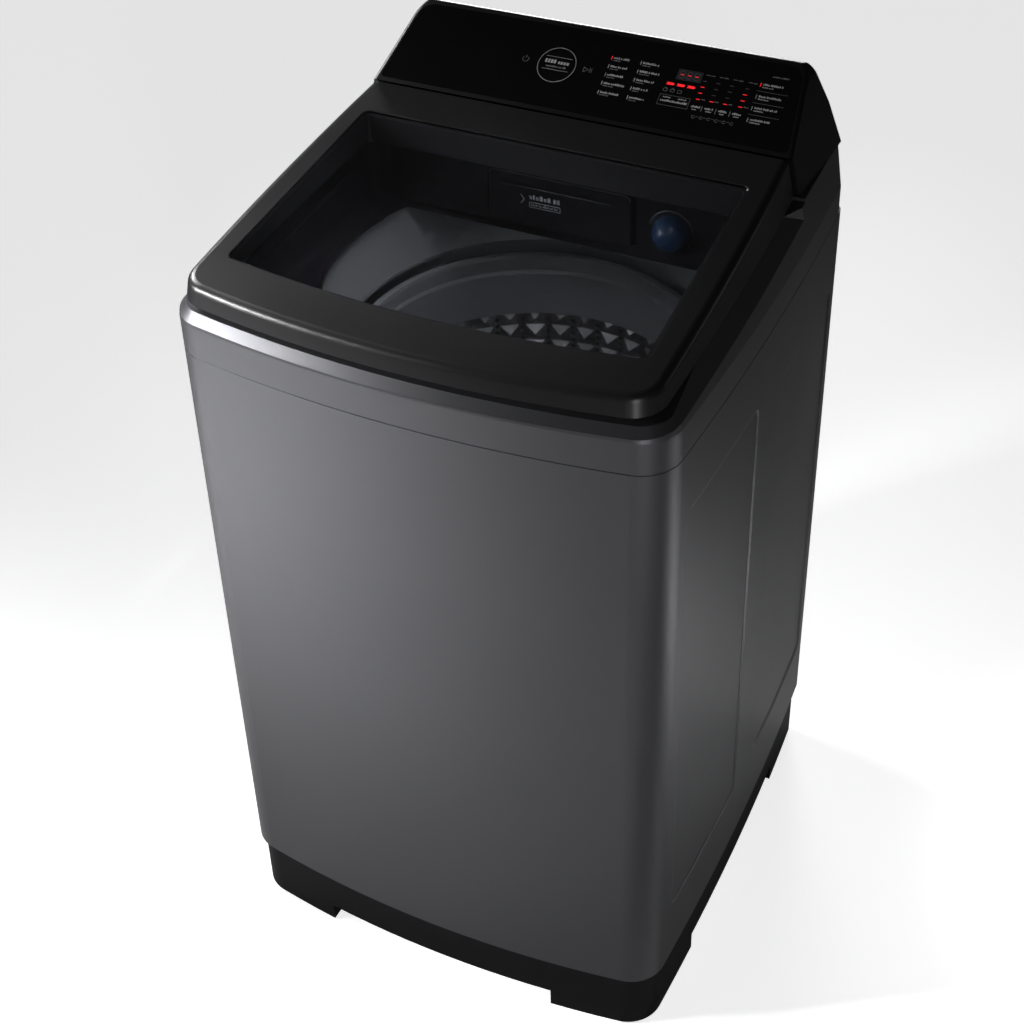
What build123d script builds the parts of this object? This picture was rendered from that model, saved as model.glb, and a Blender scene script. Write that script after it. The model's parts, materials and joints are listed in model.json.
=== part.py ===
from build123d import *
import math
import os

# Top load washing machine. Millimetres, +Z up, front towards -Y.
# The origin is on the floor, under the middle of the cabinet.

# Overall form
WIDTH = 540.0
DEPTH = 560.0
FRONT_BOW = 27.0
SIDE_RADIUS = 4175.0
SIDE_WIDEST_Y = -60.0
CORNER_R = 42.0
REAR_CORNER_R = 8.0

# Heights from the floor
FOOT_OUT = 3.0
BASE_LOW = 26.5
BASE_TOP = 84.0
CABINET_TOP = 803.0
CONSOLE_LOW = 892.0

# Sheet and moulding thickness
SHEET = 1.2
PRESSING = 1.6
PRESSING_SLOPE = 4.2
PRESSING_LAND = 0.3
MOULDING = 3.0
SEAM_HIGH = 1.2
SEAM_DEEP = 0.8

# Lid: two planes that rise towards the rear, given at y = 0
LID_TOP_Z = 917.0
LID_TOP_SLOPE = 0.1332
LID_LOW_Z = 881.6
LID_LOW_SLOPE = 0.0756
LID_SIDE_INSET = 12.0
LID_FRONT_INSET = 4.0
LID_DRAFT = 10.5
LID_REAR_Y = 127.0
LID_SKIN = 3.0
LID_GAP = 3.0
FINGER_GAP = 11.0
FINGER_REAR_Y = -226.0
FINGER_FADE_Y = -150.0
LID_NOSE_R = 9.0
LID_REAR_R = 3.0
SHOULDER_FRONT = 8.0
SHOULDER_REAR = 12.0
SHOULDER_REAR_Y = LID_REAR_Y + 2
WINDOW_FRONT = (224.5, -201.5)
WINDOW_REAR = (219.5, 71.5)
WINDOW_BOW = 18.0
GLASS_T = 4.0
PIVOT_Y = 118.5
PIVOT_DROP = 9.0
HINGE_X = 200.0
EAR_W = 8.0
HINGE_PIN_R = 3.0
RUNNING = 0.05

# Console: the sloping control face and the back of its housing
FACE_LOW = (129.0, 933.5)
FACE_HIGH = (223.4, 993.5)
CONSOLE_REAR = ((232.0, 991.0), (256.0, 940.0), (268.0, CONSOLE_LOW))
CONSOLE_HALF_LOW = 253.0
CONSOLE_HALF_TOP = 225.0
CONSOLE_CORNER_R = 24.0
FASCIA_INSET = 5.5
FACE_UNDERCUT = 3.5
FASCIA_T = 2.0
KEY_GAP = 0.2
KEY_T = 2.6

# Tub, drum and drive, all about one upright axis
AXIS_Y = 10.0
TUB_R = 226.0
TUB_WALL = 3.0
TUB_LOW = 205.0
TUB_TOP = 765.0
FUNNEL_TOP = 797.0
FUNNEL_LOW = 730.0
FUNNEL_R = 194.0
DRUM_R = 196.5
DRUM_SHEET = 1.2
DRUM_LOW = 232.0
RING_R = 198.0
RING_INNER_R = 184.0
RING_LOW = 640.0
RING_TOP = 718.0
SPIN_R = 15.0
DRIVE_R = 8.5
BEARING_R = 27.5
BEARING_T = 13.0
HOUSING_R = 62.0
HOUSING_LOW = 152.0
STATOR_R = 104.0
ROTOR_R = 128.0
ROTOR_LOW = 112.0
PULSATOR_R = 168.0
PULSATOR_LOW = DRUM_LOW + 12
SEAL_R = 30.0

# Suspension and feet
ROD_X = 198.0
ROD_FRONT_Y = -186.0
ROD_REAR_Y = 206.0
ROD_R = 4.0
ROD_LOW = 250.0
SEAT_Z = 770.0
LUG_Z = 330.0
FOOT_X = 206.0
FOOT_FRONT_Y = -205.0
FOOT_REAR_Y = 232.0
FOOT_PAD_R = 22.0
FOOT_SCREW_R = 5.0

# Dispenser
DRAWER_HALF = 83.0
DRAWER_LOW = 815.0
DRAWER_TOP = 873.0
DRAWER_FRONT_Y = 92.0
DRAWER_REAR_Y = 205.0
WELL_REAR_Y = 101.0
DRAWER_CORNER_R = 7.0
CAP_X = 127.0
CAP_Z = 838.0
CAP_R = 21.5

# Services at the rear: place across and up, and size
INLET_X = 150.0
INLET_Z = 918.0
INLET_R = 13.2
INLET_END_Y = 278.0
DRAIN_X = 160.0
DRAIN_Z = 60.0
DRAIN_R = 15.0
OUTLET_HALF = 40.0
GLAND_X = -180.0
GLAND_Z = 690.0
GLAND_R = 11.0

# Past every face of the machine
FAR = 400.0


def lid_top(y):
    return LID_TOP_Z + LID_TOP_SLOPE * y


def lid_low(y):
    return LID_LOW_Z + LID_LOW_SLOPE * y


def side_x(y, inset):
    """Half-width of the bowed cabinet side at depth y."""
    return WIDTH / 2 - inset - SIDE_RADIUS + math.sqrt(SIDE_RADIUS**2 - (y - SIDE_WIDEST_Y)**2)


def front_y(x, inset):
    """Depth of the bowed cabinet front at x."""
    radius = ((WIDTH / 2)**2 + FRONT_BOW**2) / (2 * FRONT_BOW)
    return -DEPTH / 2 + inset + radius - math.sqrt(radius**2 - x * x)


def plan(side, front, rear_y, corner=CORNER_R, rear_corner=REAR_CORNER_R):
    """Plan outline: bowed front and sides, straight rear, rounded corners."""
    corner_y = front_y(WIDTH / 2 - side, front)
    corner_x = side_x(corner_y, side)
    corner_y = front_y(corner_x, front)
    rear_x = side_x(rear_y, side)
    middle_y = (corner_y + rear_y) / 2
    middle_x = side_x(middle_y, side)
    edges = [
        ThreePointArc((-corner_x, corner_y), (0, -DEPTH / 2 + front), (corner_x, corner_y)),
        ThreePointArc((corner_x, corner_y), (middle_x, middle_y), (rear_x, rear_y)),
        Line((rear_x, rear_y), (-rear_x, rear_y)),
        ThreePointArc((-rear_x, rear_y), (-middle_x, middle_y), (-corner_x, corner_y)),
    ]
    face = make_face(edges)
    front_points = [v for v in face.vertices() if v.Y < 0]
    face = fillet(front_points, corner)
    rear_points = [v for v in face.vertices() if v.Y > rear_y - 1]
    return fillet(rear_points, rear_corner)


def prism(face, low, high, taper=0.0):
    return extrude(Pos(0, 0, low) * face, high - low, taper=taper)


def profile(points, half=FAR):
    """Solid with a constant side profile of (y, z) points."""
    return extrude(Plane.YZ * make_face(Polyline(*points, close=True)), half, both=True)


def block(x, y, z):
    """Box from (low, high) pairs."""
    size = [high - low for low, high in (x, y, z)]
    middle = [(high + low) / 2 for low, high in (x, y, z)]
    return Pos(*middle) * Box(*size)


def rod(x, y, low, high, radius):
    return Pos(x, y, (low + high) / 2) * Cylinder(radius, high - low)


def tube(low, high, outer, inner, x=0.0, y=AXIS_Y):
    return rod(x, y, low, high, outer) - rod(x, y, low - 1, high + 1, inner)


def turned(points, y=AXIS_Y):
    """Solid of revolution about the drum axis from (radius, z) points."""
    face = Plane.XZ * make_face(Polyline(*points, close=True))
    return Pos(0, y, 0) * revolve(face, Axis.Z)


def group(solids):
    return Compound(children=[s for s in solids])


def corners(x, front, rear):
    return [(-x, front), (x, front), (-x, rear), (x, rear)]


# Cabinet

def make_base():
    inset = 4.7
    wall = 5.0
    shelf = 34.0
    block_out = 100.0
    block_in_x = 60.0
    block_in_y = 82.0
    outer = plan(inset, inset, DEPTH / 2 - inset)
    inner = plan(inset + wall, inset + wall, DEPTH / 2 - inset - wall, CORNER_R - wall)
    hole = plan(inset + shelf, inset + shelf, DEPTH / 2 - inset - shelf, 30.0)
    skirt = prism(outer, BASE_LOW, BASE_TOP) - prism(inner, BASE_LOW - 1, BASE_TOP - 4)
    skirt -= prism(hole, BASE_LOW, BASE_TOP + 1)
    full = prism(outer, FOOT_OUT, BASE_LOW + 6)
    blocks = []
    for x, y in corners(FOOT_X, FOOT_FRONT_Y, FOOT_REAR_Y):
        reach_x = (x - block_in_x, x + block_out) if x > 0 else (x - block_out, x + block_in_x)
        reach_y = (y - block_out, y + block_in_y) if y < 0 else (y - block_in_x, y + block_out)
        blocks.append(full & block(reach_x, reach_y, (0, BASE_LOW + 6)))
    column = 20.0
    for x, y in corners(FOOT_X, FOOT_FRONT_Y, FOOT_REAR_Y):
        blocks.append(rod(x, y, BASE_LOW, BASE_TOP - 4, column))
    base = skirt
    for piece in blocks:
        base += piece
    for x, y in corners(FOOT_X, FOOT_FRONT_Y, FOOT_REAR_Y):
        base -= rod(x, y, 0, BASE_TOP - 10, FOOT_SCREW_R + RUNNING)
        base -= rod(x, y, 0, FOOT_OUT + 6, FOOT_PAD_R + 1)
    outlet_alcove = block((DRAIN_X - OUTLET_HALF, DRAIN_X + OUTLET_HALF), (DEPTH / 2 - 60, DEPTH / 2),
                          (BASE_LOW + 8, BASE_TOP + 1))
    return base - outlet_alcove


# Side pressings: front, rear, low and high limits
SIDE_PRESSINGS = [(-201.0, -14.0, 170.0, 727.0), (61.0, 254.0, 171.0, 711.0)]
PRESSING_R = 12.0


def pressing(limits, grow):
    """Rounded side pressing as a solid along X."""
    front, rear, low, high = limits
    face = RectangleRounded(rear - front + 2 * grow, high - low + 2 * grow, PRESSING_R + grow)
    return extrude(Plane.YZ * Pos((front + rear) / 2, (low + high) / 2) * face, FAR, both=True)


def make_cabinet_shell():
    rear = DEPTH / 2
    outer = prism(plan(0, 0, rear), BASE_TOP, CABINET_TOP)
    inner = prism(plan(SHEET, SHEET, rear - SHEET, CORNER_R - SHEET), BASE_TOP - 1, CABINET_TOP + 1)
    deep_in = prism(plan(SHEET + PRESSING, SHEET, rear - SHEET, CORNER_R - 3), BASE_TOP, CABINET_TOP)
    shallow = prism(plan(PRESSING, 0, rear, CORNER_R), BASE_TOP, CABINET_TOP)
    shell = outer - inner
    for limits in SIDE_PRESSINGS:
        shell += (inner - deep_in) & pressing(limits, SHEET)
    for limits in SIDE_PRESSINGS:
        shell -= (outer - shallow) & pressing(limits, 0)
    window = block((-222, 222), (rear - 10, rear + 10), (BASE_TOP + 20, CABINET_TOP - 20))
    shell -= window
    for side in (-1, 1):
        skin = max((f for f in shell.faces() if side * f.center().X > WIDTH / 2 - 30), key=lambda f: f.area)
        rim = [edge for wire in skin.inner_wires() for edge in wire.edges()]
        shell = chamfer(rim, PRESSING_SLOPE, PRESSING - PRESSING_LAND, reference=skin)
    return shell


def make_rear_panel():
    y = DEPTH / 2 - SHEET
    plate = block((-232, 232), (y - 1.0, y), (BASE_TOP + 8, CABINET_TOP - 10))
    rib_z = (250, 330, 410, 490, 570)
    for z in rib_z:
        plate += block((-150, 150), (y, y + 1.0), (z, z + 40))
    outlet = OUTLET_HALF + 2
    plate -= block((DRAIN_X - outlet, DRAIN_X + outlet), (y - 3, y + 3), (BASE_TOP, BASE_TOP + 80))
    plate -= Pos(GLAND_X, y, GLAND_Z) * Rot(90, 0, 0) * Cylinder(GLAND_R, 20)
    return plate


def make_rear_screws():
    y = DEPTH / 2 - SHEET - 1.0
    screws = []
    for x in (-227, 227):
        for z in (130, 350, 570, 760):
            shank = Pos(x, y - 5, z) * Rot(90, 0, 0) * Cylinder(1.8, 10)
            screws.append(shank)
    return group(screws)


# Top cover

def frame_top(drop):
    """Side profile of the top cover, lowered by drop: the finger gap narrows towards the rear."""
    front = -DEPTH / 2 - 20
    return profile([
        (front, CABINET_TOP - 5),
        (front, lid_low(-DEPTH / 2) - FINGER_GAP - drop),
        (FINGER_REAR_Y, lid_low(FINGER_REAR_Y) - FINGER_GAP - drop),
        (FINGER_FADE_Y, lid_low(FINGER_FADE_Y) - LID_GAP - drop),
        (SHOULDER_REAR_Y, lid_low(SHOULDER_REAR_Y) - LID_GAP - drop),
        (SHOULDER_REAR_Y, CONSOLE_LOW - drop),
        (290, CONSOLE_LOW - drop),
        (290, CABINET_TOP - 5),
    ])


def shoulder_waste():
    """What the sloping shoulder takes off the top cover, round the front and along both sides."""
    rise = 28.0
    front_z = lid_low(-DEPTH / 2) - FINGER_GAP - SHOULDER_FRONT
    rear_z = lid_low(SHOULDER_REAR_Y) - FINGER_GAP - SHOULDER_REAR
    climb = (rear_z - front_z) / (SHOULDER_REAR_Y + DEPTH / 2)
    slope = Plane(origin=(0, 0, front_z + climb * DEPTH / 2), x_dir=(1, 0, 0), z_dir=(0, -climb, 1))
    slab = slope * Pos(0, 0, rise / 2) * Box(2 * FAR, 2 * FAR, rise)
    kept = slope * extrude(plan(0, 0, DEPTH / 2), rise, taper=45)
    return (slab - kept) & shoulder_reach()


def shoulder_reach():
    """Plan area of the shoulder: it runs out towards the rear along two slanting lines."""
    outer_x = side_x(SHOULDER_REAR_Y, 0)
    run_out = 1.8
    far_y = SHOULDER_REAR_Y + run_out * (FAR - outer_x)
    inner_x = outer_x - 25.0
    inner_y = SHOULDER_REAR_Y - run_out * (outer_x - inner_x)
    right = [(FAR, -FAR), (FAR, far_y), (inner_x, inner_y)]
    left = [(-x, y) for x, y in reversed(right)]
    return prism(make_face(Polyline(*right, *left, close=True)), CABINET_TOP, 1000)


def make_top_frame():
    rear = 270.0
    waist = CABINET_TOP + 36
    lean = 8.0
    outer = prism(plan(0, 0, rear), CABINET_TOP, CONSOLE_LOW + 5)
    taper = prism(plan(0, 0, rear), waist, CABINET_TOP + 110, taper=lean)
    straight = prism(plan(0, 0, rear), CABINET_TOP - 1, waist)
    body = (outer & frame_top(0)) & (straight + taper)
    body -= shoulder_waste()
    wall = MOULDING
    rear_ledge = prism(plan(0, 0, DEPTH / 2), CABINET_TOP, CABINET_TOP + wall)
    body += rear_ledge & block((-FAR, FAR), (rear - 20, DEPTH / 2), (CABINET_TOP, CONSOLE_LOW))
    thick = 24.0
    low_hollow = prism(plan(wall, wall, rear - wall, CORNER_R - wall), CABINET_TOP - 1, waist)
    high_hollow = prism(plan(thick, thick, rear - 14.0, CORNER_R - thick), waist - 1, CONSOLE_LOW)
    body -= low_hollow
    body -= high_hollow & frame_top(wall + 1)
    hole = prism(plan(38, 46, WELL_REAR_Y, 40.0, 30.0), CABINET_TOP - 1, CONSOLE_LOW + 5)
    body -= hole
    seam = block((-FAR, FAR), (-FAR, FAR), (CABINET_TOP - 1, CABINET_TOP + SEAM_HIGH))
    seam -= prism(plan(SEAM_DEEP, SEAM_DEEP, DEPTH / 2 - SEAM_DEEP, CORNER_R - SEAM_DEEP),
                  CABINET_TOP - 2, CABINET_TOP + SEAM_HIGH + 1)
    body -= seam
    under_console = block((-200, 200), (LID_REAR_Y + 20, rear - 24), (CABINET_TOP - 1, CONSOLE_LOW + 5))
    return body - under_console


def make_top_apron():
    """Dark funnel between the top cover and the tub, with the wash opening."""
    gap = 0.4
    rear = WELL_REAR_Y - gap
    wall_rear = rear - MOULDING
    outer = prism(plan(38 + gap, 46 + gap, rear, 40.0 - gap, 30.0 - gap), CABINET_TOP - 2, CONSOLE_LOW)
    outer &= frame_top(5)
    bowl = prism(plan(41 + gap, 49 + gap, wall_rear, 37.0 - gap, 27.0 - gap), CABINET_TOP + 2, CONSOLE_LOW + 5)
    opening_r = 206.0
    opening = rod(0, AXIS_Y - 20, CABINET_TOP - 40, CONSOLE_LOW, opening_r)
    opening += rod(0, AXIS_Y, CABINET_TOP - 40, CONSOLE_LOW, opening_r)
    opening &= block((-FAR, FAR), (-FAR, wall_rear - 4), (0, 1000))
    apron = outer - bowl - opening
    drawer_way = block((-DRAWER_HALF - 5, DRAWER_HALF + 5), (60, 120), (DRAWER_LOW - 5, DRAWER_TOP + 2))
    cap_way = Pos(CAP_X, WELL_REAR_Y, CAP_Z) * Rot(90, 0, 0) * Cylinder(CAP_R + 2.5, 60)
    return apron - drawer_way - cap_way


# Console

FACE_ANGLE = math.degrees(math.atan2(FACE_HIGH[1] - FACE_LOW[1], FACE_HIGH[0] - FACE_LOW[0]))
FACE_LENGTH = math.hypot(FACE_HIGH[1] - FACE_LOW[1], FACE_HIGH[0] - FACE_LOW[0])
FACE = Plane(
    origin=(0, *FACE_LOW),
    x_dir=(1, 0, 0),
    z_dir=(0, -math.sin(math.radians(FACE_ANGLE)), math.cos(math.radians(FACE_ANGLE))),
)

# Keys on the control face: name, centre along and up the face, width, height
RING_KEY = ("cycle_key", -41.0, 58.0, 22.5)
KEYS = [
    ("power_key", -78.0, 59.0, 18.0, 18.0),
    ("start_key", -4.5, 58.6, 20.0, 18.0),
    ("option_key", 99.5, 40.3, 35.0, 14.0),
    ("level_key", 124.5, 37.5, 14.0, 10.0),
    ("wash_key", 139.5, 37.5, 13.0, 10.0),
    ("rinse_key", 154.5, 37.5, 13.0, 10.0),
    ("spin_key", 169.8, 37.5, 13.0, 10.0),
    ("side_key_1", 198.0, 77.5, 34.0, 12.0),
    ("side_key_2", 198.0, 63.0, 34.0, 12.0),
    ("side_key_3", 198.0, 48.8, 34.0, 12.0),
    ("side_key_4", 198.0, 34.6, 34.0, 12.0),
]
DISPLAY = (106.0, 73.4, 28.0, 13.5)


def on_face(x, y, width, height, low, high, round_r=2.0):
    """Rounded plate on the control face, from low to high along its normal."""
    plate = extrude(RectangleRounded(width, height, round_r), high - low)
    return FACE * Pos(x, y, low) * plate


def ring_on_face(radius, low, high):
    name, x, y, _ = RING_KEY
    return FACE * Pos(x, y, (low + high) / 2) * Cylinder(radius, high - low)


def console_solid(shrink):
    """Console body: side profile cut by two leaning sides, all faces moved in by shrink."""
    front = FACE_LOW[0] + FACE_UNDERCUT
    points = [(front, CONSOLE_LOW), (front, FACE_LOW[1] - FACE_UNDERCUT), FACE_LOW, FACE_HIGH, *CONSOLE_REAR]
    face = make_face(Polyline(*points, close=True))
    if shrink:
        face = offset(face, -shrink, kind=Kind.INTERSECTION)
    else:
        face = fillet([v for v in face.vertices() if v.Y > CONSOLE_LOW + 20 and v.X > 140], 6.0)
    body = extrude(Plane.YZ * face, FAR, both=True)
    half_low = CONSOLE_HALF_LOW - shrink
    half_top = CONSOLE_HALF_TOP - shrink
    sides = Polyline((-half_low, CONSOLE_LOW), (half_low, CONSOLE_LOW), (half_top, FACE_HIGH[1] + 2),
                     (-half_top, FACE_HIGH[1] + 2), close=True)
    outline = make_face(sides)
    outline = fillet([v for v in outline.vertices() if v.Y > CONSOLE_LOW + 20], CONSOLE_CORNER_R)
    return body & extrude(Plane.XZ * outline, FAR, both=True)


def fascia_outline(low, high, inset):
    """Trapezium on the control face that follows the leaning sides."""
    lean = (CONSOLE_HALF_LOW - CONSOLE_HALF_TOP) / (FACE_HIGH[1] + 2 - CONSOLE_LOW)
    rise = math.sin(math.radians(FACE_ANGLE))
    bottom = 5.0 + inset
    top = FACE_LENGTH - FASCIA_INSET - inset
    top_r = CONSOLE_CORNER_R - FASCIA_INSET - inset
    start = CONSOLE_HALF_LOW - lean * (FACE_LOW[1] - CONSOLE_LOW)
    half = [start - lean * rise * v - FASCIA_INSET - inset for v in (bottom, top)]
    points = [(-half[0], bottom), (half[0], bottom), (half[1], top), (-half[1], top)]
    shape = make_face(Polyline(*points, close=True))
    shape = fillet([v for v in shape.vertices() if v.Y < FACE_LENGTH / 2], 5.0)
    shape = fillet([v for v in shape.vertices() if v.Y > FACE_LENGTH / 2], top_r)
    return FACE * Pos(0, 0, low) * extrude(shape, high - low)


def make_panel_housing():
    body = console_solid(0)
    ends = [e for e in body.edges() if abs(e.center().X) > 200 and e.center().Z > CONSOLE_LOW + 20]
    crease = [e for e in ends if e.length > 12]
    body = fillet(crease, 5.0)
    body -= console_solid(4.0)
    body -= fascia_outline(-FASCIA_T, 5.0, 0.0)
    body -= fascia_outline(-20.0, 1.0, 4.0)
    body -= block((-180, 180), (LID_REAR_Y + 24, 250), (CONSOLE_LOW - 1, CONSOLE_LOW + 6))
    body -= Pos(INLET_X, CONSOLE_REAR[2][0], INLET_Z) * Rot(90, 0, 0) * Cylinder(24.0, 40)
    return body


def make_fascia():
    plate = fascia_outline(-FASCIA_T, 0.0, 0.15)
    for name, x, y, width, height in KEYS:
        plate -= on_face(x, y, width, height, -10, 5)
    plate -= ring_on_face(RING_KEY[3], -10, 5)
    return plate - on_face(*DISPLAY, -10, 5, 1.0)


def make_key(x, y, width, height):
    cap = on_face(x, y, width - 2 * KEY_GAP, height - 2 * KEY_GAP, -KEY_T, 0.0, 1.8)
    return cap + on_face(x, y, 4.0, 4.0, -KEY_T - 2.0, -KEY_T, 0.5)


def make_cycle_key():
    stem = FACE * Pos(RING_KEY[1], RING_KEY[2], -KEY_T - 1.0) * Cylinder(3.0, 2.0)
    return ring_on_face(RING_KEY[3] - KEY_GAP, -KEY_T, 0.0) + stem


def make_display_window():
    x, y, width, height = DISPLAY
    return on_face(x, y, width - 0.3, height - 0.3, -3.0, -0.15, 0.9)


BOARD_LOW = -10.4
BOARD_HIGH = -8.8
SWITCH_HIGH = -5.6


def make_control_board():
    board = on_face(65.0, 56.0, 320.0, 62.0, BOARD_LOW, BOARD_HIGH)
    for name, x, y, width, height in KEYS:
        board += on_face(x, y, 6.0, 6.0, BOARD_HIGH, SWITCH_HIGH, 0.5)
    board += on_face(RING_KEY[1], RING_KEY[2], 6.0, 6.0, BOARD_HIGH, SWITCH_HIGH, 0.5)
    board += on_face(DISPLAY[0], DISPLAY[1], 24.0, 10.0, BOARD_HIGH, -3.2, 0.5)
    for x, y in ((-85, 36), (-85, 76), (60, 84)):
        board += on_face(x, y, 7.0, 7.0, BOARD_HIGH, -FASCIA_T, 1.0)
    return board


# Lid

def lid_slab(top_drop, low_rise, rear_y):
    front = -DEPTH / 2 - 20
    return profile([
        (front, lid_low(front) + low_rise),
        (front, lid_top(front) - top_drop),
        (rear_y, lid_top(rear_y) - top_drop),
        (rear_y, lid_low(rear_y) + low_rise),
    ])


def window_prism(grow):
    xf, yf = WINDOW_FRONT
    xr, yr = WINDOW_REAR
    face = make_face([
        ThreePointArc((-xf, yf), (0, yf - WINDOW_BOW), (xf, yf)),
        Line((xf, yf), (xr, yr)),
        Line((xr, yr), (-xr, yr)),
        Line((-xr, yr), (-xf, yf)),
    ])
    face = fillet(face.vertices(), 9.0)
    if grow:
        face = offset(face, grow)
    return prism(face, 800, 1000)


def lid_outer(inset):
    low = lid_low(-DEPTH / 2) - 4
    outline = plan(LID_SIDE_INSET + inset, LID_FRONT_INSET + inset, 210.0, CORNER_R - 6 - inset)
    return prism(outline, low, 960.0, taper=LID_DRAFT)


PIVOT_Z = LID_TOP_Z + LID_TOP_SLOPE * PIVOT_Y - PIVOT_DROP


def make_lid_frame():
    body = lid_outer(0) & lid_slab(0, 0, LID_REAR_Y)
    rim = [e for e in body.edges() if e.center().Z > lid_top(e.center().Y) - 1.5 and e.length > 15]
    body = fillet([e for e in rim if e.center().Y < LID_REAR_Y - 1], LID_NOSE_R)
    heel = [e for e in body.edges() if e.center().Z > lid_top(LID_REAR_Y) - 1.5 and e.length > 300]
    body = fillet(heel, LID_REAR_R)
    cavity = lid_outer(LID_SKIN) & lid_slab(LID_SKIN + 3, -5, LID_REAR_Y - LID_SKIN)
    cavity -= window_prism(5.0)
    body -= cavity
    body -= window_prism(0) & lid_slab(-10, -10, LID_REAR_Y)
    ledge = window_prism(0) - window_prism(-5.0)
    body += ledge & lid_slab(GLASS_T + 1.0, 8.0, 80.0) & lid_slab(0, 8.0, 80.0)
    for side in (-1, 1):
        body = add_hinge(body, side * HINGE_X)
    return body


def add_hinge(body, x):
    """Notch for the fixed ear, with a cheek on each side bored for the pin."""
    cheek = 10.0
    notch_half = EAR_W / 2 + 1.0
    low = lid_low(PIVOT_Y) + 4
    cheeks = block((x - notch_half - cheek, x + notch_half + cheek), (PIVOT_Y - 9, LID_REAR_Y - 1),
                   (low, PIVOT_Z + 4))
    body += cheeks
    body -= block((x - notch_half, x + notch_half), (PIVOT_Y - 10, LID_REAR_Y + 5), (low - 20, PIVOT_Z + 5.6))
    bore = Pos(x, PIVOT_Y, PIVOT_Z) * Rot(0, 90, 0) * Cylinder(HINGE_PIN_R + RUNNING, 2 * (notch_half + cheek))
    return body - bore


def make_lid_liner():
    """Inner cover that closes the underside of the lid round the window."""
    thick = profile([
        (-320, lid_low(-320) + 1.0), (-320, lid_low(-320) + 3.5),
        (PIVOT_Y - 14, lid_low(PIVOT_Y - 14) + 3.5), (PIVOT_Y - 14, lid_low(PIVOT_Y - 14) + 1.0),
    ])
    plate = lid_outer(LID_SKIN + 0.4) & thick
    return plate - window_prism(5.3)


def make_lid_glass():
    pane = window_prism(-0.4) & lid_slab(0.8, 0, 80.0)
    return pane - profile([
        (-320, 700), (-320, lid_top(-320) - 0.8 - GLASS_T), (100, lid_top(100) - 0.8 - GLASS_T), (100, 700),
    ])


def make_lid_bumpers():
    x, y, radius = 235.0, FINGER_FADE_Y + 15, 5.0
    low = lid_low(y) - LID_GAP + 0.8
    return group([rod(side * x, y, low, lid_low(y) + 0.6, radius) for side in (-1, 1)])


def make_hinge_brackets():
    shelf = lid_low(100) - LID_GAP
    seat = frame_top(0)
    parts = []
    for side in (-1, 1):
        x = side * HINGE_X
        ear = block((x - EAR_W / 2, x + EAR_W / 2), (PIVOT_Y - 4.5, PIVOT_Y + 4.5), (shelf, PIVOT_Z))
        ear += Pos(x, PIVOT_Y, PIVOT_Z) * Rot(0, 90, 0) * Cylinder(4.5, EAR_W)
        ear -= Pos(x, PIVOT_Y, PIVOT_Z) * Rot(0, 90, 0) * Cylinder(HINGE_PIN_R, EAR_W + 2)
        parts.append(ear - seat)
    return group(parts)


def make_hinge_pins():
    pin = Rot(0, 90, 0) * Cylinder(HINGE_PIN_R, EAR_W + 18.0)
    return group([Pos(side * HINGE_X, PIVOT_Y, PIVOT_Z) * pin for side in (-1, 1)])


# Dispenser

def make_dispenser_housing():
    wall = 2.5
    outer = block((-DRAWER_HALF - 4, DRAWER_HALF + 4), (DRAWER_FRONT_Y + 8, DRAWER_REAR_Y + 14),
                  (DRAWER_LOW - 4, DRAWER_TOP + 1))
    inner = block((-DRAWER_HALF - 4 + wall, DRAWER_HALF + 4 - wall), (0, DRAWER_REAR_Y + 14 - wall),
                  (DRAWER_LOW - 4 + wall, DRAWER_TOP + 1 - wall))
    return outer - inner


def make_detergent_drawer():
    wall = 2.0
    half = DRAWER_HALF - 2
    low, high, front = DRAWER_LOW, DRAWER_TOP, DRAWER_FRONT_Y
    face = block((-DRAWER_HALF, DRAWER_HALF), (front, front + 7), (low - 2, high))
    ends = [e for e in face.edges() if abs(e.center().X) > DRAWER_HALF - 1]
    face = fillet([e for e in ends if e.center().Z > high - 1], DRAWER_CORNER_R)
    grip = block((-DRAWER_HALF + 14, DRAWER_HALF - 22), (front - 1, front + 4.5), (high - 15, high - 8))
    tray = block((-half, half), (front + 7, DRAWER_REAR_Y), (low, high - 12))
    hollow = block((-half + wall, half - wall), (front + 7, DRAWER_REAR_Y - wall), (low + wall, high))
    return face - grip + (tray - hollow)


def make_softener_cup():
    axis = Pos(CAP_X, 0, CAP_Z) * Rot(90, 0, 0)
    cup = Pos(0, 118, 0) * axis * Cylinder(CAP_R + 2, 44)
    hollow = Pos(0, 112, 0) * axis * Cylinder(CAP_R - 0.5, 44)
    return cup - hollow


def make_softener_cap():
    ball = Pos(CAP_X, 96, CAP_Z) * Sphere(CAP_R - 1)
    stem = Pos(CAP_X, 126, CAP_Z) * Rot(90, 0, 0) * Cylinder(8, 16)
    return (ball & block((0, FAR), (60, 112), (0, 1000))) + stem + (
        Pos(CAP_X, 115, CAP_Z) * Rot(90, 0, 0) * Cylinder(14, 12))


# Tub and drum

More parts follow.
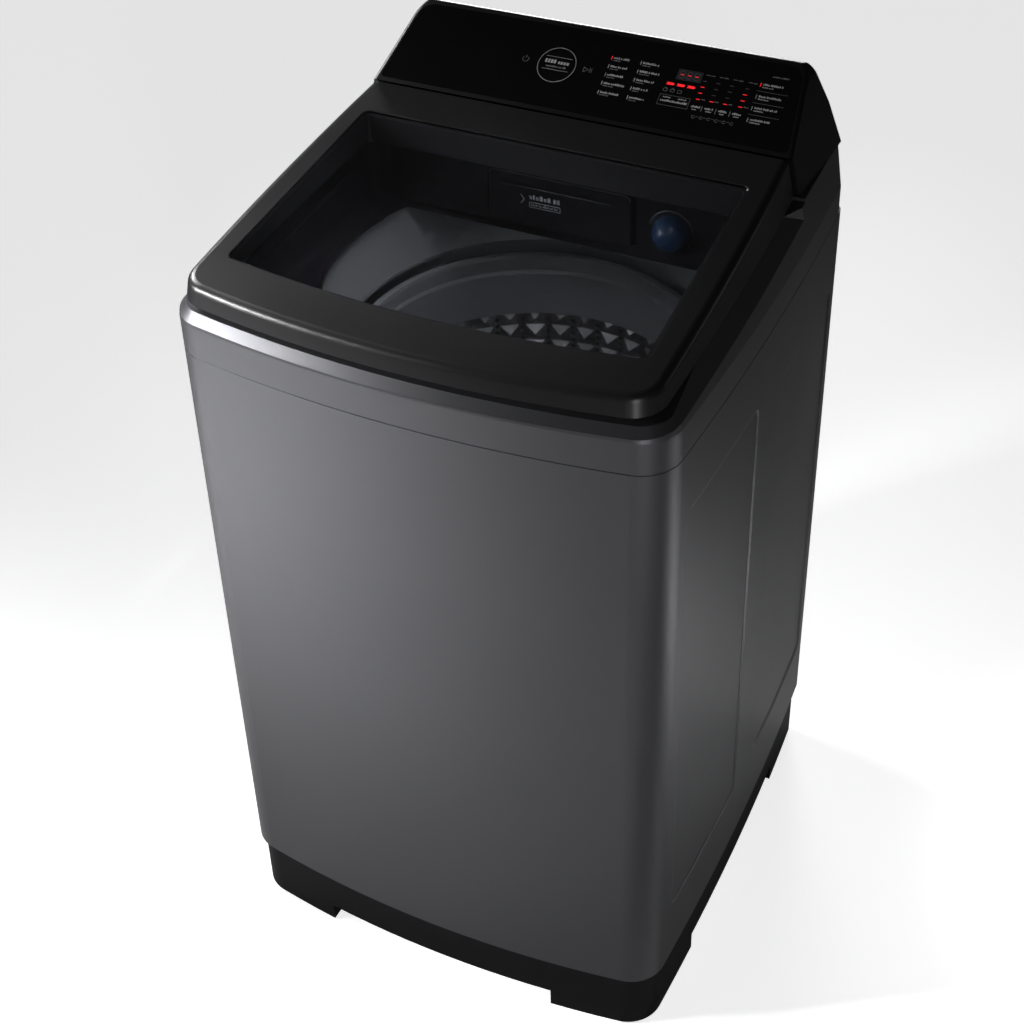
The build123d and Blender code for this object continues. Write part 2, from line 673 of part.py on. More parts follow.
def make_outer_tub():
    body = turned([(0, TUB_LOW), (TUB_R - 14, TUB_LOW), (TUB_R, TUB_LOW + 14), (TUB_R, TUB_TOP), (0, TUB_TOP)])
    inner_r = TUB_R - TUB_WALL
    low = TUB_LOW + 5
    high = TUB_TOP + 1
    body -= turned([(0, low), (inner_r - 12, low), (inner_r, low + 12), (inner_r, high), (0, high)])
    lug_half = 15.0
    solid = rod(0, AXIS_Y, LUG_Z - 1, LUG_Z + 40, TUB_R - 1)
    for x, y in corners(ROD_X, ROD_FRONT_Y, ROD_REAR_Y):
        angle = math.degrees(math.atan2(y - AXIS_Y, x))
        reach = math.hypot(x, y - AXIS_Y) + lug_half
        lug = Pos(reach / 2, 0, LUG_Z + 9) * Box(reach, 2 * lug_half, 18)
        body += (Pos(0, AXIS_Y, 0) * Rot(0, 0, angle) * lug) - solid
        body -= rod(x, y, LUG_Z - 5, LUG_Z + 40, ROD_R + 4)
    return body - rod(0, AXIS_Y, TUB_LOW - 1, TUB_LOW + 20, SEAL_R)


def make_tub_cover():
    return turned([
        (TUB_R - 5, TUB_TOP), (TUB_R, TUB_TOP), (TUB_R, FUNNEL_TOP), (TUB_R - 8, FUNNEL_TOP),
        (FUNNEL_R, FUNNEL_LOW + 4), (FUNNEL_R, FUNNEL_LOW), (FUNNEL_R + 3, FUNNEL_LOW),
        (TUB_R - 5, FUNNEL_TOP - 8),
    ])


def make_drum_shell():
    return tube(DRUM_LOW, RING_LOW, DRUM_R, DRUM_R - DRUM_SHEET)


def make_drum_base():
    inside = DRUM_R - DRUM_SHEET
    return turned([
        (SPIN_R + 20, DRUM_LOW), (inside, DRUM_LOW), (inside, DRUM_LOW + 26), (inside - 5, DRUM_LOW + 26),
        (inside - 16, DRUM_LOW + 8), (SPIN_R + 20, DRUM_LOW + 8),
    ])


def make_balance_ring():
    return turned([
        (RING_INNER_R, RING_LOW), (RING_R, RING_LOW), (RING_R, RING_TOP - 9), (RING_R - 1.5, RING_TOP - 4),
        (RING_R - 5, RING_TOP), (RING_INNER_R + 6, RING_TOP), (RING_INNER_R + 3.5, RING_TOP - 1.5),
        (RING_INNER_R + 2.5, RING_TOP - 5), (RING_INNER_R + 2, RING_TOP - 20), (RING_INNER_R, RING_TOP - 24),
    ])


def make_drum_hub():
    hub = turned([
        (SPIN_R, DRUM_LOW - 12), (34, DRUM_LOW - 12), (150, DRUM_LOW - 4), (150, DRUM_LOW),
        (SPIN_R + 20, DRUM_LOW), (SPIN_R + 20, DRUM_LOW + 6), (SPIN_R, DRUM_LOW + 6),
    ])
    for angle in range(30, 360, 60):
        hub -= Pos(0, AXIS_Y, 0) * Rot(0, 0, angle) * Pos(95, 0, DRUM_LOW) * Cylinder(24, 40)
    return hub


def make_spin_shaft():
    return tube(HOUSING_LOW - 26, DRUM_LOW + 6, SPIN_R, DRIVE_R + RUNNING)


def make_bearing_housing():
    flange = tube(TUB_LOW - 8, TUB_LOW, 120.0, BEARING_R)
    barrel = tube(HOUSING_LOW, TUB_LOW - 8, HOUSING_R, BEARING_R)
    foot = tube(HOUSING_LOW - 6, HOUSING_LOW, HOUSING_R, BEARING_R - 6)
    return flange + barrel + foot


def make_spin_bearings():
    upper = tube(TUB_LOW - BEARING_T, TUB_LOW, BEARING_R, SPIN_R + RUNNING)
    lower = tube(HOUSING_LOW, HOUSING_LOW + BEARING_T, BEARING_R, SPIN_R + RUNNING)
    return group([upper, lower])


def make_shaft_seal():
    return tube(TUB_LOW, TUB_LOW + 7, SEAL_R, SPIN_R + RUNNING)


def make_stator():
    core = tube(HOUSING_LOW - 34, HOUSING_LOW - 6, STATOR_R - 26, HOUSING_R - 12)
    teeth = 36
    for index in range(teeth):
        arm = Pos(STATOR_R - 17, 0, HOUSING_LOW - 20) * Box(30, 5.5, 22)
        core += Pos(0, AXIS_Y, 0) * Rot(0, 0, index * 360 / teeth) * arm
    return core


def make_rotor():
    cup = tube(ROTOR_LOW, HOUSING_LOW - 8, ROTOR_R, ROTOR_R - 10)
    floor = tube(ROTOR_LOW - 4, ROTOR_LOW, ROTOR_R, DRIVE_R)
    hub = tube(ROTOR_LOW, ROTOR_LOW + 6, 30, DRIVE_R)
    return cup + floor + hub


def make_clutch():
    return tube(HOUSING_LOW - 32, HOUSING_LOW - 16, 40.0, SPIN_R + RUNNING)


def make_drive_shaft():
    return rod(0, AXIS_Y, ROTOR_LOW - 12, PULSATOR_LOW + 10, DRIVE_R)


def make_pulsator():
    low = PULSATOR_LOW
    disc = turned([
        (DRIVE_R, low), (40, low), (PULSATOR_R - 8, low + 4), (PULSATOR_R, low + 10),
        (PULSATOR_R - 6, low + 14), (PULSATOR_R - 40, low + 12), (46, low + 18), (30, low + 28),
        (10, low + 30), (10, low + 10), (DRIVE_R, low + 10),
    ])
    wing = profile([(-14, low + 8), (-5, low + 34), (5, low + 34), (14, low + 8)], 58)
    for index in range(6):
        disc += Pos(0, AXIS_Y, 0) * Rot(0, 0, index * 60) * Pos(92, 0, 0) * wing
    return disc


def make_pulsator_screw():
    top = PULSATOR_LOW + 10
    return rod(0, AXIS_Y, top, top + 12, 9.8)


# Suspension, feet and services

def make_corner_brackets():
    plates = []
    inside = prism(plan(SHEET + 0.3, SHEET + 0.3, DEPTH / 2 - SHEET - 0.3, CORNER_R - 2), SEAT_Z, SEAT_Z + 3)
    for x, y in corners(ROD_X, ROD_FRONT_Y, ROD_REAR_Y):
        reach_x = (x - 20, FAR) if x > 0 else (-FAR, x + 20)
        reach_y = (-FAR, y + 20) if y < 0 else (y - 20, DEPTH / 2 - 12)
        plate = inside & block(reach_x, reach_y, (SEAT_Z, SEAT_Z + 3))
        plates.append(plate - rod(x, y, SEAT_Z - 1, SEAT_Z + 4, ROD_R + 4))
    return group(plates)


def make_suspension_seats():
    return group([tube(SEAT_Z + 3, SEAT_Z + 12, 13.0, ROD_R, x, y)
                  for x, y in corners(ROD_X, ROD_FRONT_Y, ROD_REAR_Y)])


def make_suspension_rods():
    rods = []
    for x, y in corners(ROD_X, ROD_FRONT_Y, ROD_REAR_Y):
        body = rod(x, y, ROD_LOW, SEAT_Z + 12, ROD_R)
        body += rod(x, y, SEAT_Z + 12, SEAT_Z + 16, 9.0)
        rods.append(body + rod(x, y, ROD_LOW, ROD_LOW + 6, 17.0))
    return group(rods)


def make_suspension_springs():
    return group([tube(ROD_LOW + 6, LUG_Z, 14.0, 11.0, x, y)
                  for x, y in corners(ROD_X, ROD_FRONT_Y, ROD_REAR_Y)])


def make_foot(x, y):
    pad = rod(x, y, 0, FOOT_OUT + 5, FOOT_PAD_R)
    return pad + rod(x, y, FOOT_OUT + 5, BASE_TOP - 30, FOOT_SCREW_R)


def make_drain_pump():
    low = DEPTH / 2 - 105
    high = DEPTH / 2 - 50
    end = DEPTH / 2 - 12
    middle = (low + high) / 2
    body = Pos(DRAIN_X, middle, DRAIN_Z) * Rot(90, 0, 0) * Cylinder(26.0, high - low)
    start = high - 2
    spigot = Pos(DRAIN_X, (start + end) / 2, DRAIN_Z) * Rot(90, 0, 0) * Cylinder(DRAIN_R, end - start)
    inlet = rod(DRAIN_X, middle, DRAIN_Z + 12, DRAIN_Z + 52, 17.0)
    return body + spigot + inlet


def make_inlet_valve():
    y = 240.0
    front = y + 13
    body = Pos(INLET_X, y, INLET_Z) * Box(44, 26, 30)
    middle = (front + INLET_END_Y) / 2
    thread = Pos(INLET_X, middle, INLET_Z) * Rot(90, 0, 0) * Cylinder(INLET_R, INLET_END_Y - front)
    bore = Pos(INLET_X, INLET_END_Y - 8, INLET_Z) * Rot(90, 0, 0) * Cylinder(9.0, 40)
    stem = Pos(INLET_X, y, INLET_Z - 21) * Box(44, 10, 12)
    return body + thread + stem - bore


def make_cord_gland():
    axis = Pos(GLAND_X, DEPTH / 2 - SHEET - 0.5, GLAND_Z) * Rot(90, 0, 0)
    gland = axis * Cylinder(GLAND_R, 1.0)
    gland += Pos(0, -3.5, 0) * axis * Cylinder(14.0, 6.0)
    return gland - axis * Cylinder(4.0, 40)


def make_lid_switch():
    body = block((212, 232), (WELL_REAR_Y + 3, WELL_REAR_Y + 24), (lid_low(100) - LID_GAP - 26, CONSOLE_LOW))
    return body & frame_top(MOULDING + 1)


PIECES = {
    "base": make_base,
    "cabinet_shell": make_cabinet_shell,
    "rear_panel": make_rear_panel,
    "rear_screws": make_rear_screws,
    "top_frame": make_top_frame,
    "top_apron": make_top_apron,
    "panel_housing": make_panel_housing,
    "control_fascia": make_fascia,
    "display_window": make_display_window,
    "control_board": make_control_board,
    "cycle_key": make_cycle_key,
    "lid_frame": make_lid_frame,
    "lid_liner": make_lid_liner,
    "lid_glass": make_lid_glass,
    "lid_bumpers": make_lid_bumpers,
    "hinge_brackets": make_hinge_brackets,
    "hinge_pins": make_hinge_pins,
    "dispenser_housing": make_dispenser_housing,
    "detergent_drawer": make_detergent_drawer,
    "softener_cup": make_softener_cup,
    "softener_cap": make_softener_cap,
    "outer_tub": make_outer_tub,
    "tub_cover": make_tub_cover,
    "drum_shell": make_drum_shell,
    "drum_base": make_drum_base,
    "balance_ring": make_balance_ring,
    "drum_hub": make_drum_hub,
    "spin_shaft": make_spin_shaft,
    "bearing_housing": make_bearing_housing,
    "spin_bearings": make_spin_bearings,
    "shaft_seal": make_shaft_seal,
    "stator": make_stator,
    "rotor": make_rotor,
    "clutch_coupler": make_clutch,
    "drive_shaft": make_drive_shaft,
    "pulsator": make_pulsator,
    "pulsator_screw": make_pulsator_screw,
    "corner_brackets": make_corner_brackets,
    "suspension_seats": make_suspension_seats,
    "suspension_rods": make_suspension_rods,
    "suspension_springs": make_suspension_springs,
    "drain_pump": make_drain_pump,
    "inlet_valve": make_inlet_valve,
    "cord_gland": make_cord_gland,
    "lid_switch": make_lid_switch,
}

FEET = {
    "foot_front_left": (-FOOT_X, FOOT_FRONT_Y),
    "foot_front_right": (FOOT_X, FOOT_FRONT_Y),
    "foot_rear_left": (-FOOT_X, FOOT_REAR_Y),
    "foot_rear_right": (FOOT_X, FOOT_REAR_Y),
}


def main():
    os.makedirs("parts", exist_ok=True)
    pieces = {name: make() for name, make in PIECES.items()}
    for name, x, y, width, height in KEYS:
        pieces[name] = make_key(x, y, width, height)
    for name, place in FEET.items():
        pieces[name] = make_foot(*place)
    for name, piece in pieces.items():
        export_step(piece, f"parts/{name}.step")


main()
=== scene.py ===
import json
import math

import bmesh
import bpy
from mathutils import Matrix, Vector


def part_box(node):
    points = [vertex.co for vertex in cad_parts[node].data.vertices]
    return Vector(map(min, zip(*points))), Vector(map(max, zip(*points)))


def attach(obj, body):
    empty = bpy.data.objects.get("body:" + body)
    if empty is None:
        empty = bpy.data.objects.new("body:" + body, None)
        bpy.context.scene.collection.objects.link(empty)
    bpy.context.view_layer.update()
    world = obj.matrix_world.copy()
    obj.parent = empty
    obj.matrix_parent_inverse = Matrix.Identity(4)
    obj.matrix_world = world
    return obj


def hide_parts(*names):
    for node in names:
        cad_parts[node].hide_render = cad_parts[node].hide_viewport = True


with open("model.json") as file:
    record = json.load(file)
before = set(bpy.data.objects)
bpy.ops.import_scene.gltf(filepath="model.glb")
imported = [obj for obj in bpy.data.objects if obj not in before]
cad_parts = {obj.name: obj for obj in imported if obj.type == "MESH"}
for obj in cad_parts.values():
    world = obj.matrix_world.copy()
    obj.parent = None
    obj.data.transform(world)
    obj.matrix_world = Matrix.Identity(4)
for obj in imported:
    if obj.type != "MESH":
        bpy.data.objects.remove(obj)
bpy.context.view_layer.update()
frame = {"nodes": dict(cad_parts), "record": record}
nodes = frame["nodes"]
MM = 0.001


# Steps that the materials share

def new_material(name):
    """Material with its node tree and its main shader."""
    material = bpy.data.materials.new(name)
    material.use_nodes = True
    return material, material.node_tree, material.node_tree.nodes["Principled BSDF"]


def switch_by_ray(tree, ray, usual, special, output):
    """Shows the special shader to one kind of ray, and the usual shader to all others."""
    path = tree.nodes.new("ShaderNodeLightPath")
    mix = tree.nodes.new("ShaderNodeMixShader")
    tree.links.new(path.outputs[ray], mix.inputs[0])
    tree.links.new(usual, mix.inputs[1])
    tree.links.new(special, mix.inputs[2])
    tree.links.new(mix.outputs["Shader"], tree.nodes[output].inputs["Surface"])


# Camera and studio

VIEW_AZIMUTH = math.radians(27.6033)
VIEW_ELEVATION = math.radians(36.1362)
VIEW_ROLL = math.radians(-2.1182)
FOCAL_PIXELS = 1817.476
CENTRE_PIXEL = (498.941, 430.0)
PICTURE_PIXELS = 1024.0
SENSOR = 36.0
CAMERA_PLACE = Vector((0.7261006, -1.4537009, 1.7987961))
WHITE = (1.0, 1.0, 1.0, 1.0)
ROOM_STRENGTH = 0.02
BACKDROP_STRENGTH = 0.8
FLOOR_HALF = 60.0
FLOOR_TONE = (0.86, 0.86, 0.86, 1.0)
FLOOR_ROUGHNESS = 0.9
FLOOR_GLOW = 0.75
SPOT_BLEND = 0.8
SPOT_RADIUS = 0.1

# Place, target, width and height in metres, then watts and the spread in degrees
SOFTBOXES = {
    "left_softbox": ((-0.95, -0.82, 1.0), (-0.26, -0.28, 0.62), (0.4, 0.45), 4.5, 38),
    "floor_wash": ((-1.5, -1.3, 2.6), (-1.15, -1.2, 0), (0.9, 0.9), 18, 45),
    "lid_softbox": ((-1.8, 0.4, 1.9), (-0.25, -0.2, 0.9), (0.6, 0.6), 4, 50),
    "rear_strip": ((2.0, 1.85, 0.6), (0.27, 0, 0.3), (0.4, 0.6), 0.1, 24),
    "side_wash": ((1.5, 0.2, 1.9), (0.92, 0.25, 0), (0.3, 0.3), 1.4, 20),
    "corner_strip": ((1.5, -2.4, 0.9), (0.25, -0.25, 0.4), (0.25, 1.6), 22, 180),
    "back_softbox": ((-0.9, 2.3, 0.9), (0, 0.28, 0.5), (1.4, 1.2), 4, 34),
}

# Place, target, then watts and the cone in degrees
SPOTS = {
    "tub_lamp": ((0.6, -0.5, 2.4), (-0.07, -0.08, 0.9), 300, 7.4),
    "drum_lamp": ((0.5, -1.25, 2.35), (-0.02, 0.19, 0.53), 260, 5.2),
}


def add_camera():
    a, e, r = VIEW_AZIMUTH, VIEW_ELEVATION, VIEW_ROLL
    back = Vector((math.sin(a) * math.cos(e), -math.cos(a) * math.cos(e), math.sin(e)))
    right = Vector((math.cos(a), math.sin(a), 0.0))
    up = back.cross(right)
    right, up = math.cos(r) * right + math.sin(r) * up, math.cos(r) * up - math.sin(r) * right
    data = bpy.data.cameras.new("photo_view")
    data.sensor_width = SENSOR
    data.lens = FOCAL_PIXELS / PICTURE_PIXELS * SENSOR
    data.shift_x = 0.5 - CENTRE_PIXEL[0] / PICTURE_PIXELS
    data.shift_y = CENTRE_PIXEL[1] / PICTURE_PIXELS - 0.5
    camera = bpy.data.objects.new("photo_view", data)
    turn = Matrix((right, up, back)).transposed().to_4x4()
    camera.matrix_world = Matrix.Translation(CAMERA_PLACE) @ turn
    bpy.context.scene.collection.objects.link(camera)
    bpy.context.scene.camera = camera


def put_light(data, place, target):
    """Hangs a light in the studio, aimed at the target and hidden from the camera."""
    light = bpy.data.objects.new(data.name, data)
    light.visible_camera = False
    light.location = place
    light.rotation_euler = (Vector(target) - Vector(place)).to_track_quat("-Z", "Y").to_euler()
    bpy.context.scene.collection.objects.link(light)


def add_softbox(name, place, target, size, power, spread):
    data = bpy.data.lights.new(name, "AREA")
    data.shape = "RECTANGLE"
    data.size, data.size_y = size
    data.energy = power
    data.spread = math.radians(spread)
    put_light(data, place, target)


def add_spot(name, place, target, power, cone):
    """Narrow soft spot through the lid window."""
    data = bpy.data.lights.new(name, "SPOT")
    data.energy = power
    data.spot_size = math.radians(cone)
    data.spot_blend = SPOT_BLEND
    data.shadow_soft_size = SPOT_RADIUS
    put_light(data, place, target)


def add_world():
    """Dim room light, with a pale backdrop for the view alone."""
    world = bpy.data.worlds.new("studio")
    world.use_nodes = True
    tree = world.node_tree
    room = tree.nodes["Background"]
    backdrop = tree.nodes.new("ShaderNodeBackground")
    for shader, strength in ((room, ROOM_STRENGTH), (backdrop, BACKDROP_STRENGTH)):
        shader.inputs["Color"].default_value = WHITE
        shader.inputs["Strength"].default_value = strength
    switch_by_ray(tree, "Is Camera Ray", room.outputs["Background"],
                  backdrop.outputs["Background"], "World Output")
    bpy.context.scene.world = world


def add_studio():
    add_world()
    bpy.context.scene.view_settings.view_transform = "Standard"
    for name, values in SOFTBOXES.items():
        add_softbox(name, *values)
    for name, values in SPOTS.items():
        add_spot(name, *values)


def add_floor():
    """Paper lit from below for the view alone, so that it stays pale and throws no light on the object."""
    mesh = bpy.data.meshes.new("floor")
    corners = [(x * FLOOR_HALF, y * FLOOR_HALF, 0) for x, y in ((-1, -1), (1, -1), (1, 1), (-1, 1))]
    mesh.from_pydata(corners, [], [(0, 1, 2, 3)])
    floor = bpy.data.objects.new("floor", mesh)
    bpy.context.scene.collection.objects.link(floor)
    paper, tree, shader = new_material("studio_paper")
    shader.inputs["Base Color"].default_value = FLOOR_TONE
    shader.inputs["Roughness"].default_value = FLOOR_ROUGHNESS
    glow = tree.nodes.new("ShaderNodeEmission")
    glow.inputs["Color"].default_value = WHITE
    glow.inputs["Strength"].default_value = FLOOR_GLOW
    both = tree.nodes.new("ShaderNodeAddShader")
    tree.links.new(shader.outputs["BSDF"], both.inputs[0])
    tree.links.new(glow.outputs["Emission"], both.inputs[1])
    switch_by_ray(tree, "Is Camera Ray", shader.outputs["BSDF"], both.outputs["Shader"], "Material Output")
    mesh.materials.append(paper)


# Shared finish effects

GRAIN_RELIEF = 0.0004
GRAIN_DETAIL = 2.0
MOTTLE_SCALE = 9.0
MOTTLE_DETAIL = 3.0
GLASS_INDEX = 1.45


def new_group(name, inputs, outputs):
    tree = bpy.data.node_groups.new(name, "ShaderNodeTree")
    for label, kind, value in inputs:
        socket = tree.interface.new_socket(label, in_out="INPUT", socket_type=kind)
        socket.default_value = value
    for label, kind in outputs:
        tree.interface.new_socket(label, in_out="OUTPUT", socket_type=kind)
    return tree, tree.nodes.new("NodeGroupInput"), tree.nodes.new("NodeGroupOutput")


def make_grain_group():
    """Moulded or sprayed surface: fine relief, slow mottling of tone and of gloss."""
    tree, inside, out = new_group(
        "moulded_grain",
        [("Colour", "NodeSocketColor", (0.1, 0.1, 0.1, 1)), ("Roughness", "NodeSocketFloat", 0.4),
         ("Grain Scale", "NodeSocketFloat", 1500.0), ("Relief", "NodeSocketFloat", 0.1),
         ("Mottle", "NodeSocketFloat", 0.1), ("Gloss Drift", "NodeSocketFloat", 0.08)],
        [("Colour", "NodeSocketColor"), ("Roughness", "NodeSocketFloat"), ("Normal", "NodeSocketVector")],
    )
    add = tree.nodes.new
    link = tree.links.new
    place = add("ShaderNodeTexCoord")
    fine = add("ShaderNodeTexNoise")
    fine.inputs["Detail"].default_value = GRAIN_DETAIL
    link(place.outputs["Object"], fine.inputs["Vector"])
    link(inside.outputs["Grain Scale"], fine.inputs["Scale"])
    bump = add("ShaderNodeBump")
    bump.inputs["Distance"].default_value = GRAIN_RELIEF
    link(fine.outputs["Fac"], bump.inputs["Height"])
    link(inside.outputs["Relief"], bump.inputs["Strength"])
    slow = add("ShaderNodeTexNoise")
    slow.inputs["Scale"].default_value = MOTTLE_SCALE
    slow.inputs["Detail"].default_value = MOTTLE_DETAIL
    link(place.outputs["Object"], slow.inputs["Vector"])
    centred = add("ShaderNodeMath")
    centred.operation = "SUBTRACT"
    link(slow.outputs["Fac"], centred.inputs[0])
    centred.inputs[1].default_value = 0.5
    tone = add("ShaderNodeMath")
    tone.operation = "MULTIPLY_ADD"
    link(centred.outputs[0], tone.inputs[0])
    link(inside.outputs["Mottle"], tone.inputs[1])
    tone.inputs[2].default_value = 1.0
    shade = add("ShaderNodeVectorMath")
    shade.operation = "SCALE"
    link(inside.outputs["Colour"], shade.inputs[0])
    link(tone.outputs[0], shade.inputs["Scale"])
    gloss = add("ShaderNodeMath")
    gloss.operation = "MULTIPLY_ADD"
    link(centred.outputs[0], gloss.inputs[0])
    link(inside.outputs["Gloss Drift"], gloss.inputs[1])
    link(inside.outputs["Roughness"], gloss.inputs[2])
    link(shade.outputs[0], out.inputs["Colour"])
    link(gloss.outputs[0], out.inputs["Roughness"])
    link(bump.outputs["Normal"], out.inputs["Normal"])
    return tree


GRAIN = make_grain_group()


def grained(name, colour, roughness, scale=1500.0, relief=0.1, mottle=0.1, drift=0.08, **shader_values):
    """Material on the shared grain, with constants set on the shader itself."""
    material, tree, shader = new_material(name)
    grain = tree.nodes.new("ShaderNodeGroup")
    grain.node_tree = GRAIN
    values = {"Colour": (*colour, 1.0), "Roughness": roughness, "Grain Scale": scale, "Relief": relief,
              "Mottle": mottle, "Gloss Drift": drift}
    for label, value in values.items():
        grain.inputs[label].default_value = value
    tree.links.new(grain.outputs["Colour"], shader.inputs["Base Color"])
    tree.links.new(grain.outputs["Roughness"], shader.inputs["Roughness"])
    tree.links.new(grain.outputs["Normal"], shader.inputs["Normal"])
    for label, value in shader_values.items():
        shader.inputs[label.replace("_", " ")].default_value = value
    return material


def tinted_glass(name, colour, shadow, roughness):
    """Clear sheet that lets lamp light through, dimmed by the shadow tint."""
    material, tree, shader = new_material(name)
    shader.inputs["Base Color"].default_value = (*colour, 1.0)
    shader.inputs["Roughness"].default_value = roughness
    shader.inputs["Transmission Weight"].default_value = 1.0
    shader.inputs["IOR"].default_value = GLASS_INDEX
    clear = tree.nodes.new("ShaderNodeBsdfTransparent")
    clear.inputs["Color"].default_value = (*shadow, 1.0)
    switch_by_ray(tree, "Is Shadow Ray", shader.outputs["BSDF"], clear.outputs["BSDF"], "Material Output")
    return material


def glowing(name, colour, strength):
    material, _, shader = new_material(name)
    shader.inputs["Base Color"].default_value = (*colour, 1.0)
    shader.inputs["Emission Color"].default_value = (*colour, 1.0)
    shader.inputs["Emission Strength"].default_value = strength
    return material


# Name, colour and roughness, then the grain's scale and relief, mottling and drift of gloss
FINISH = {
    "cabinet_paint": grained("cabinet_enamel", (0.09, 0.09, 0.097), 0.36, 900, 0.05, 0.05, 0.05,
                             Metallic=0.8, Specular_IOR_Level=0.3),
    "rear_zinc": grained("coated_sheet", (0.30, 0.31, 0.32), 0.45, 700, 0.08, 0.12, 0.1, Metallic=0.8),
    "top_grey": grained("top_moulding", (0.09, 0.09, 0.097), 0.36, 1400, 0.05, 0.05, 0.05,
                        Metallic=0.8, Specular_IOR_Level=0.3),
    "base_black": grained("plinth_moulding", (0.006, 0.006, 0.007), 0.5, 1300, 0.2, 0.1,
                          Specular_IOR_Level=0.08),
    "lid_black": grained("lid_moulding", (0.009, 0.009, 0.010), 0.34, 1600, 0.05, 0.06,
                         Specular_IOR_Level=0.35),
    "inner_black": grained("inner_moulding", (0.005, 0.005, 0.006), 0.2, 24, 1.0, 0.1,
                           Specular_IOR_Level=0.35),
    "console_black": grained("console_moulding", (0.005, 0.005, 0.006), 0.3, 1500, 0.1, 0.06,
                             Specular_IOR_Level=0.25),
    "fascia_gloss": grained("fascia_sheet", (0.003, 0.003, 0.0034), 0.16, 600, 0.01, 0.05, 0.03,
                            Specular_IOR_Level=0.3),
    "smoked_lens": grained("smoked_lens", (0.030, 0.030, 0.036), 0.12, 600, 0.01),
    "tinted_glass": tinted_glass("tinted_glass", (0.80, 0.81, 0.83), (0.72, 0.73, 0.75), 0.01),
    "cap_blue": grained("blue_moulding", (0.006, 0.021, 0.05), 0.2, 900, 0.03, 0.1, 0.05,
                        Transmission_Weight=0.2),
    "tub_grey": grained("tub_moulding", (0.075, 0.077, 0.082), 0.4, 1200, 0.08, 0.06),
    "stainless": grained("stainless_sheet", (0.66, 0.66, 0.67), 0.24, 700, 0.05, 0.08, 0.1, Metallic=1.0),
    "steel": grained("plated_steel", (0.42, 0.42, 0.43), 0.35, 700, 0.08, 0.15, 0.15, Metallic=1.0),
    "alloy": grained("cast_alloy", (0.5, 0.51, 0.52), 0.5, 900, 0.3, 0.12, 0.1, Metallic=0.9),
    "bearing_steel": grained("ground_steel", (0.55, 0.55, 0.55), 0.2, 600, 0.02, Metallic=1.0),
    "rubber": grained("black_rubber", (0.018, 0.018, 0.018), 0.75, 1200, 0.2),
    "service_plastic": grained("natural_moulding", (0.55, 0.55, 0.52), 0.5, 1200, 0.1),
    # near-black discs laid over the sheet in place of holes: painted shade seen through them
    "hole_painted_shade": grained("hole_shadow", (0.006, 0.006, 0.006), 0.6, 900, 0.05),
    "bevel_black": grained("polished_edge", (0.008, 0.008, 0.009), 0.4, 900, 0.02, 0.05, 0.03,
                           Specular_IOR_Level=0.25),
    # lighter than the black mouldings beside it: painted highlight along the rolled edges
    "edge_painted_highlight": grained("rolled_edge", (0.02, 0.02, 0.021), 0.25, 900, 0.02, 0.05, 0.03),
    "board_green": grained("circuit_board", (0.02, 0.1, 0.05), 0.4, 500, 0.05),
}

INK = {
    "white": grained("printed_white", (0.36, 0.36, 0.37), 0.5, 900, 0.02, 0.05, 0.05),
    "grey": grained("printed_grey", (0.13, 0.13, 0.135), 0.5, 900, 0.02, 0.05, 0.05),
    "red": glowing("lit_red", (0.72, 0.010, 0.016), 0.9),
    "ember": grained("unlit_segment", (0.06, 0.045, 0.05), 0.4, 900, 0.02, 0.05, 0.05),
}


def dress_nodes():
    for part in frame["record"]["subparts"]:
        mesh = nodes[part["node"]].data
        mesh.materials.clear()
        mesh.materials.append(FINISH[part["material_slot"]])


# Prints on the control face, in millimetres along and up the face

FACE_LOW = (129.0, 933.5)
FACE_HIGH = (223.4, 993.5)
FACE_ANGLE = math.atan2(FACE_HIGH[1] - FACE_LOW[1], FACE_HIGH[0] - FACE_LOW[0])
PRINT_LOW = 0.004
PRINT_HIGH = 0.03
LENS_LOW = -0.145
LENS_HIGH = -0.1
HAIRLINE = 0.35

PROGRAMME_COLUMNS = (16.0, 49.4)
PROGRAMME_ROWS = (78.0, 67.3, 56.7, 46.1, 34.6)
PROGRAMME_TICK = (0.7, 4.6)
PROGRAMME_TICK_LIFT = 0.4
PROGRAMME_INDENT = 2.2
PROGRAMME_LENGTH = 15.0
PROGRAMME_LENGTH_SPREAD = 8.0
NAME_HEIGHT = 2.5
NAME_LIFT = 1.0
NOTE_HEIGHT = 1.5
NOTE_DROP = 2.2
NOTE_SHARE = 0.5

LIGHT_COLUMNS = (124.0, 138.8, 154.0, 170.5)
LIGHT_ROWS = (70.2, 62.8, 55.4, 47.8)
LIGHT_BAR = (4.2, 0.9)
LIT = {(0, 1), (0, 2), (0, 3), (1, 3), (2, 3), (3, 1), (3, 2), (3, 3)}
HEADING_V = 78.0
HEADING_BAR = (4.6, 0.7)
HEADING_BAR_INDENT = 1.4
HEADING_INDENT = 4.6
HEADING_LENGTH = 4.5
FOOTING_INDENT = 3.4
FOOTING_LIFT = 0.6
FOOTING_HEIGHT = 1.4
DIVIDERS = (131.6, 147.0, 162.2)
DIVIDER_V = 37.6
DIVIDER_HEIGHT = 6.5

SYMBOLS = 6
SYMBOL_PITCH = 8.4
SYMBOL_RING = (126.0, 26.8, 1.7, 0.4)
SYMBOL_ARCH = (130.2, 26.4, 1.4, 0.35)

SIDE_RULES = (70.2, 55.8, 41.6)
SIDE_RULE_U = 197.6
SIDE_RULE_LENGTH = 33.0
CORNER_NOTE = (192.0, 89.6, 17.0, 1.9, 40)

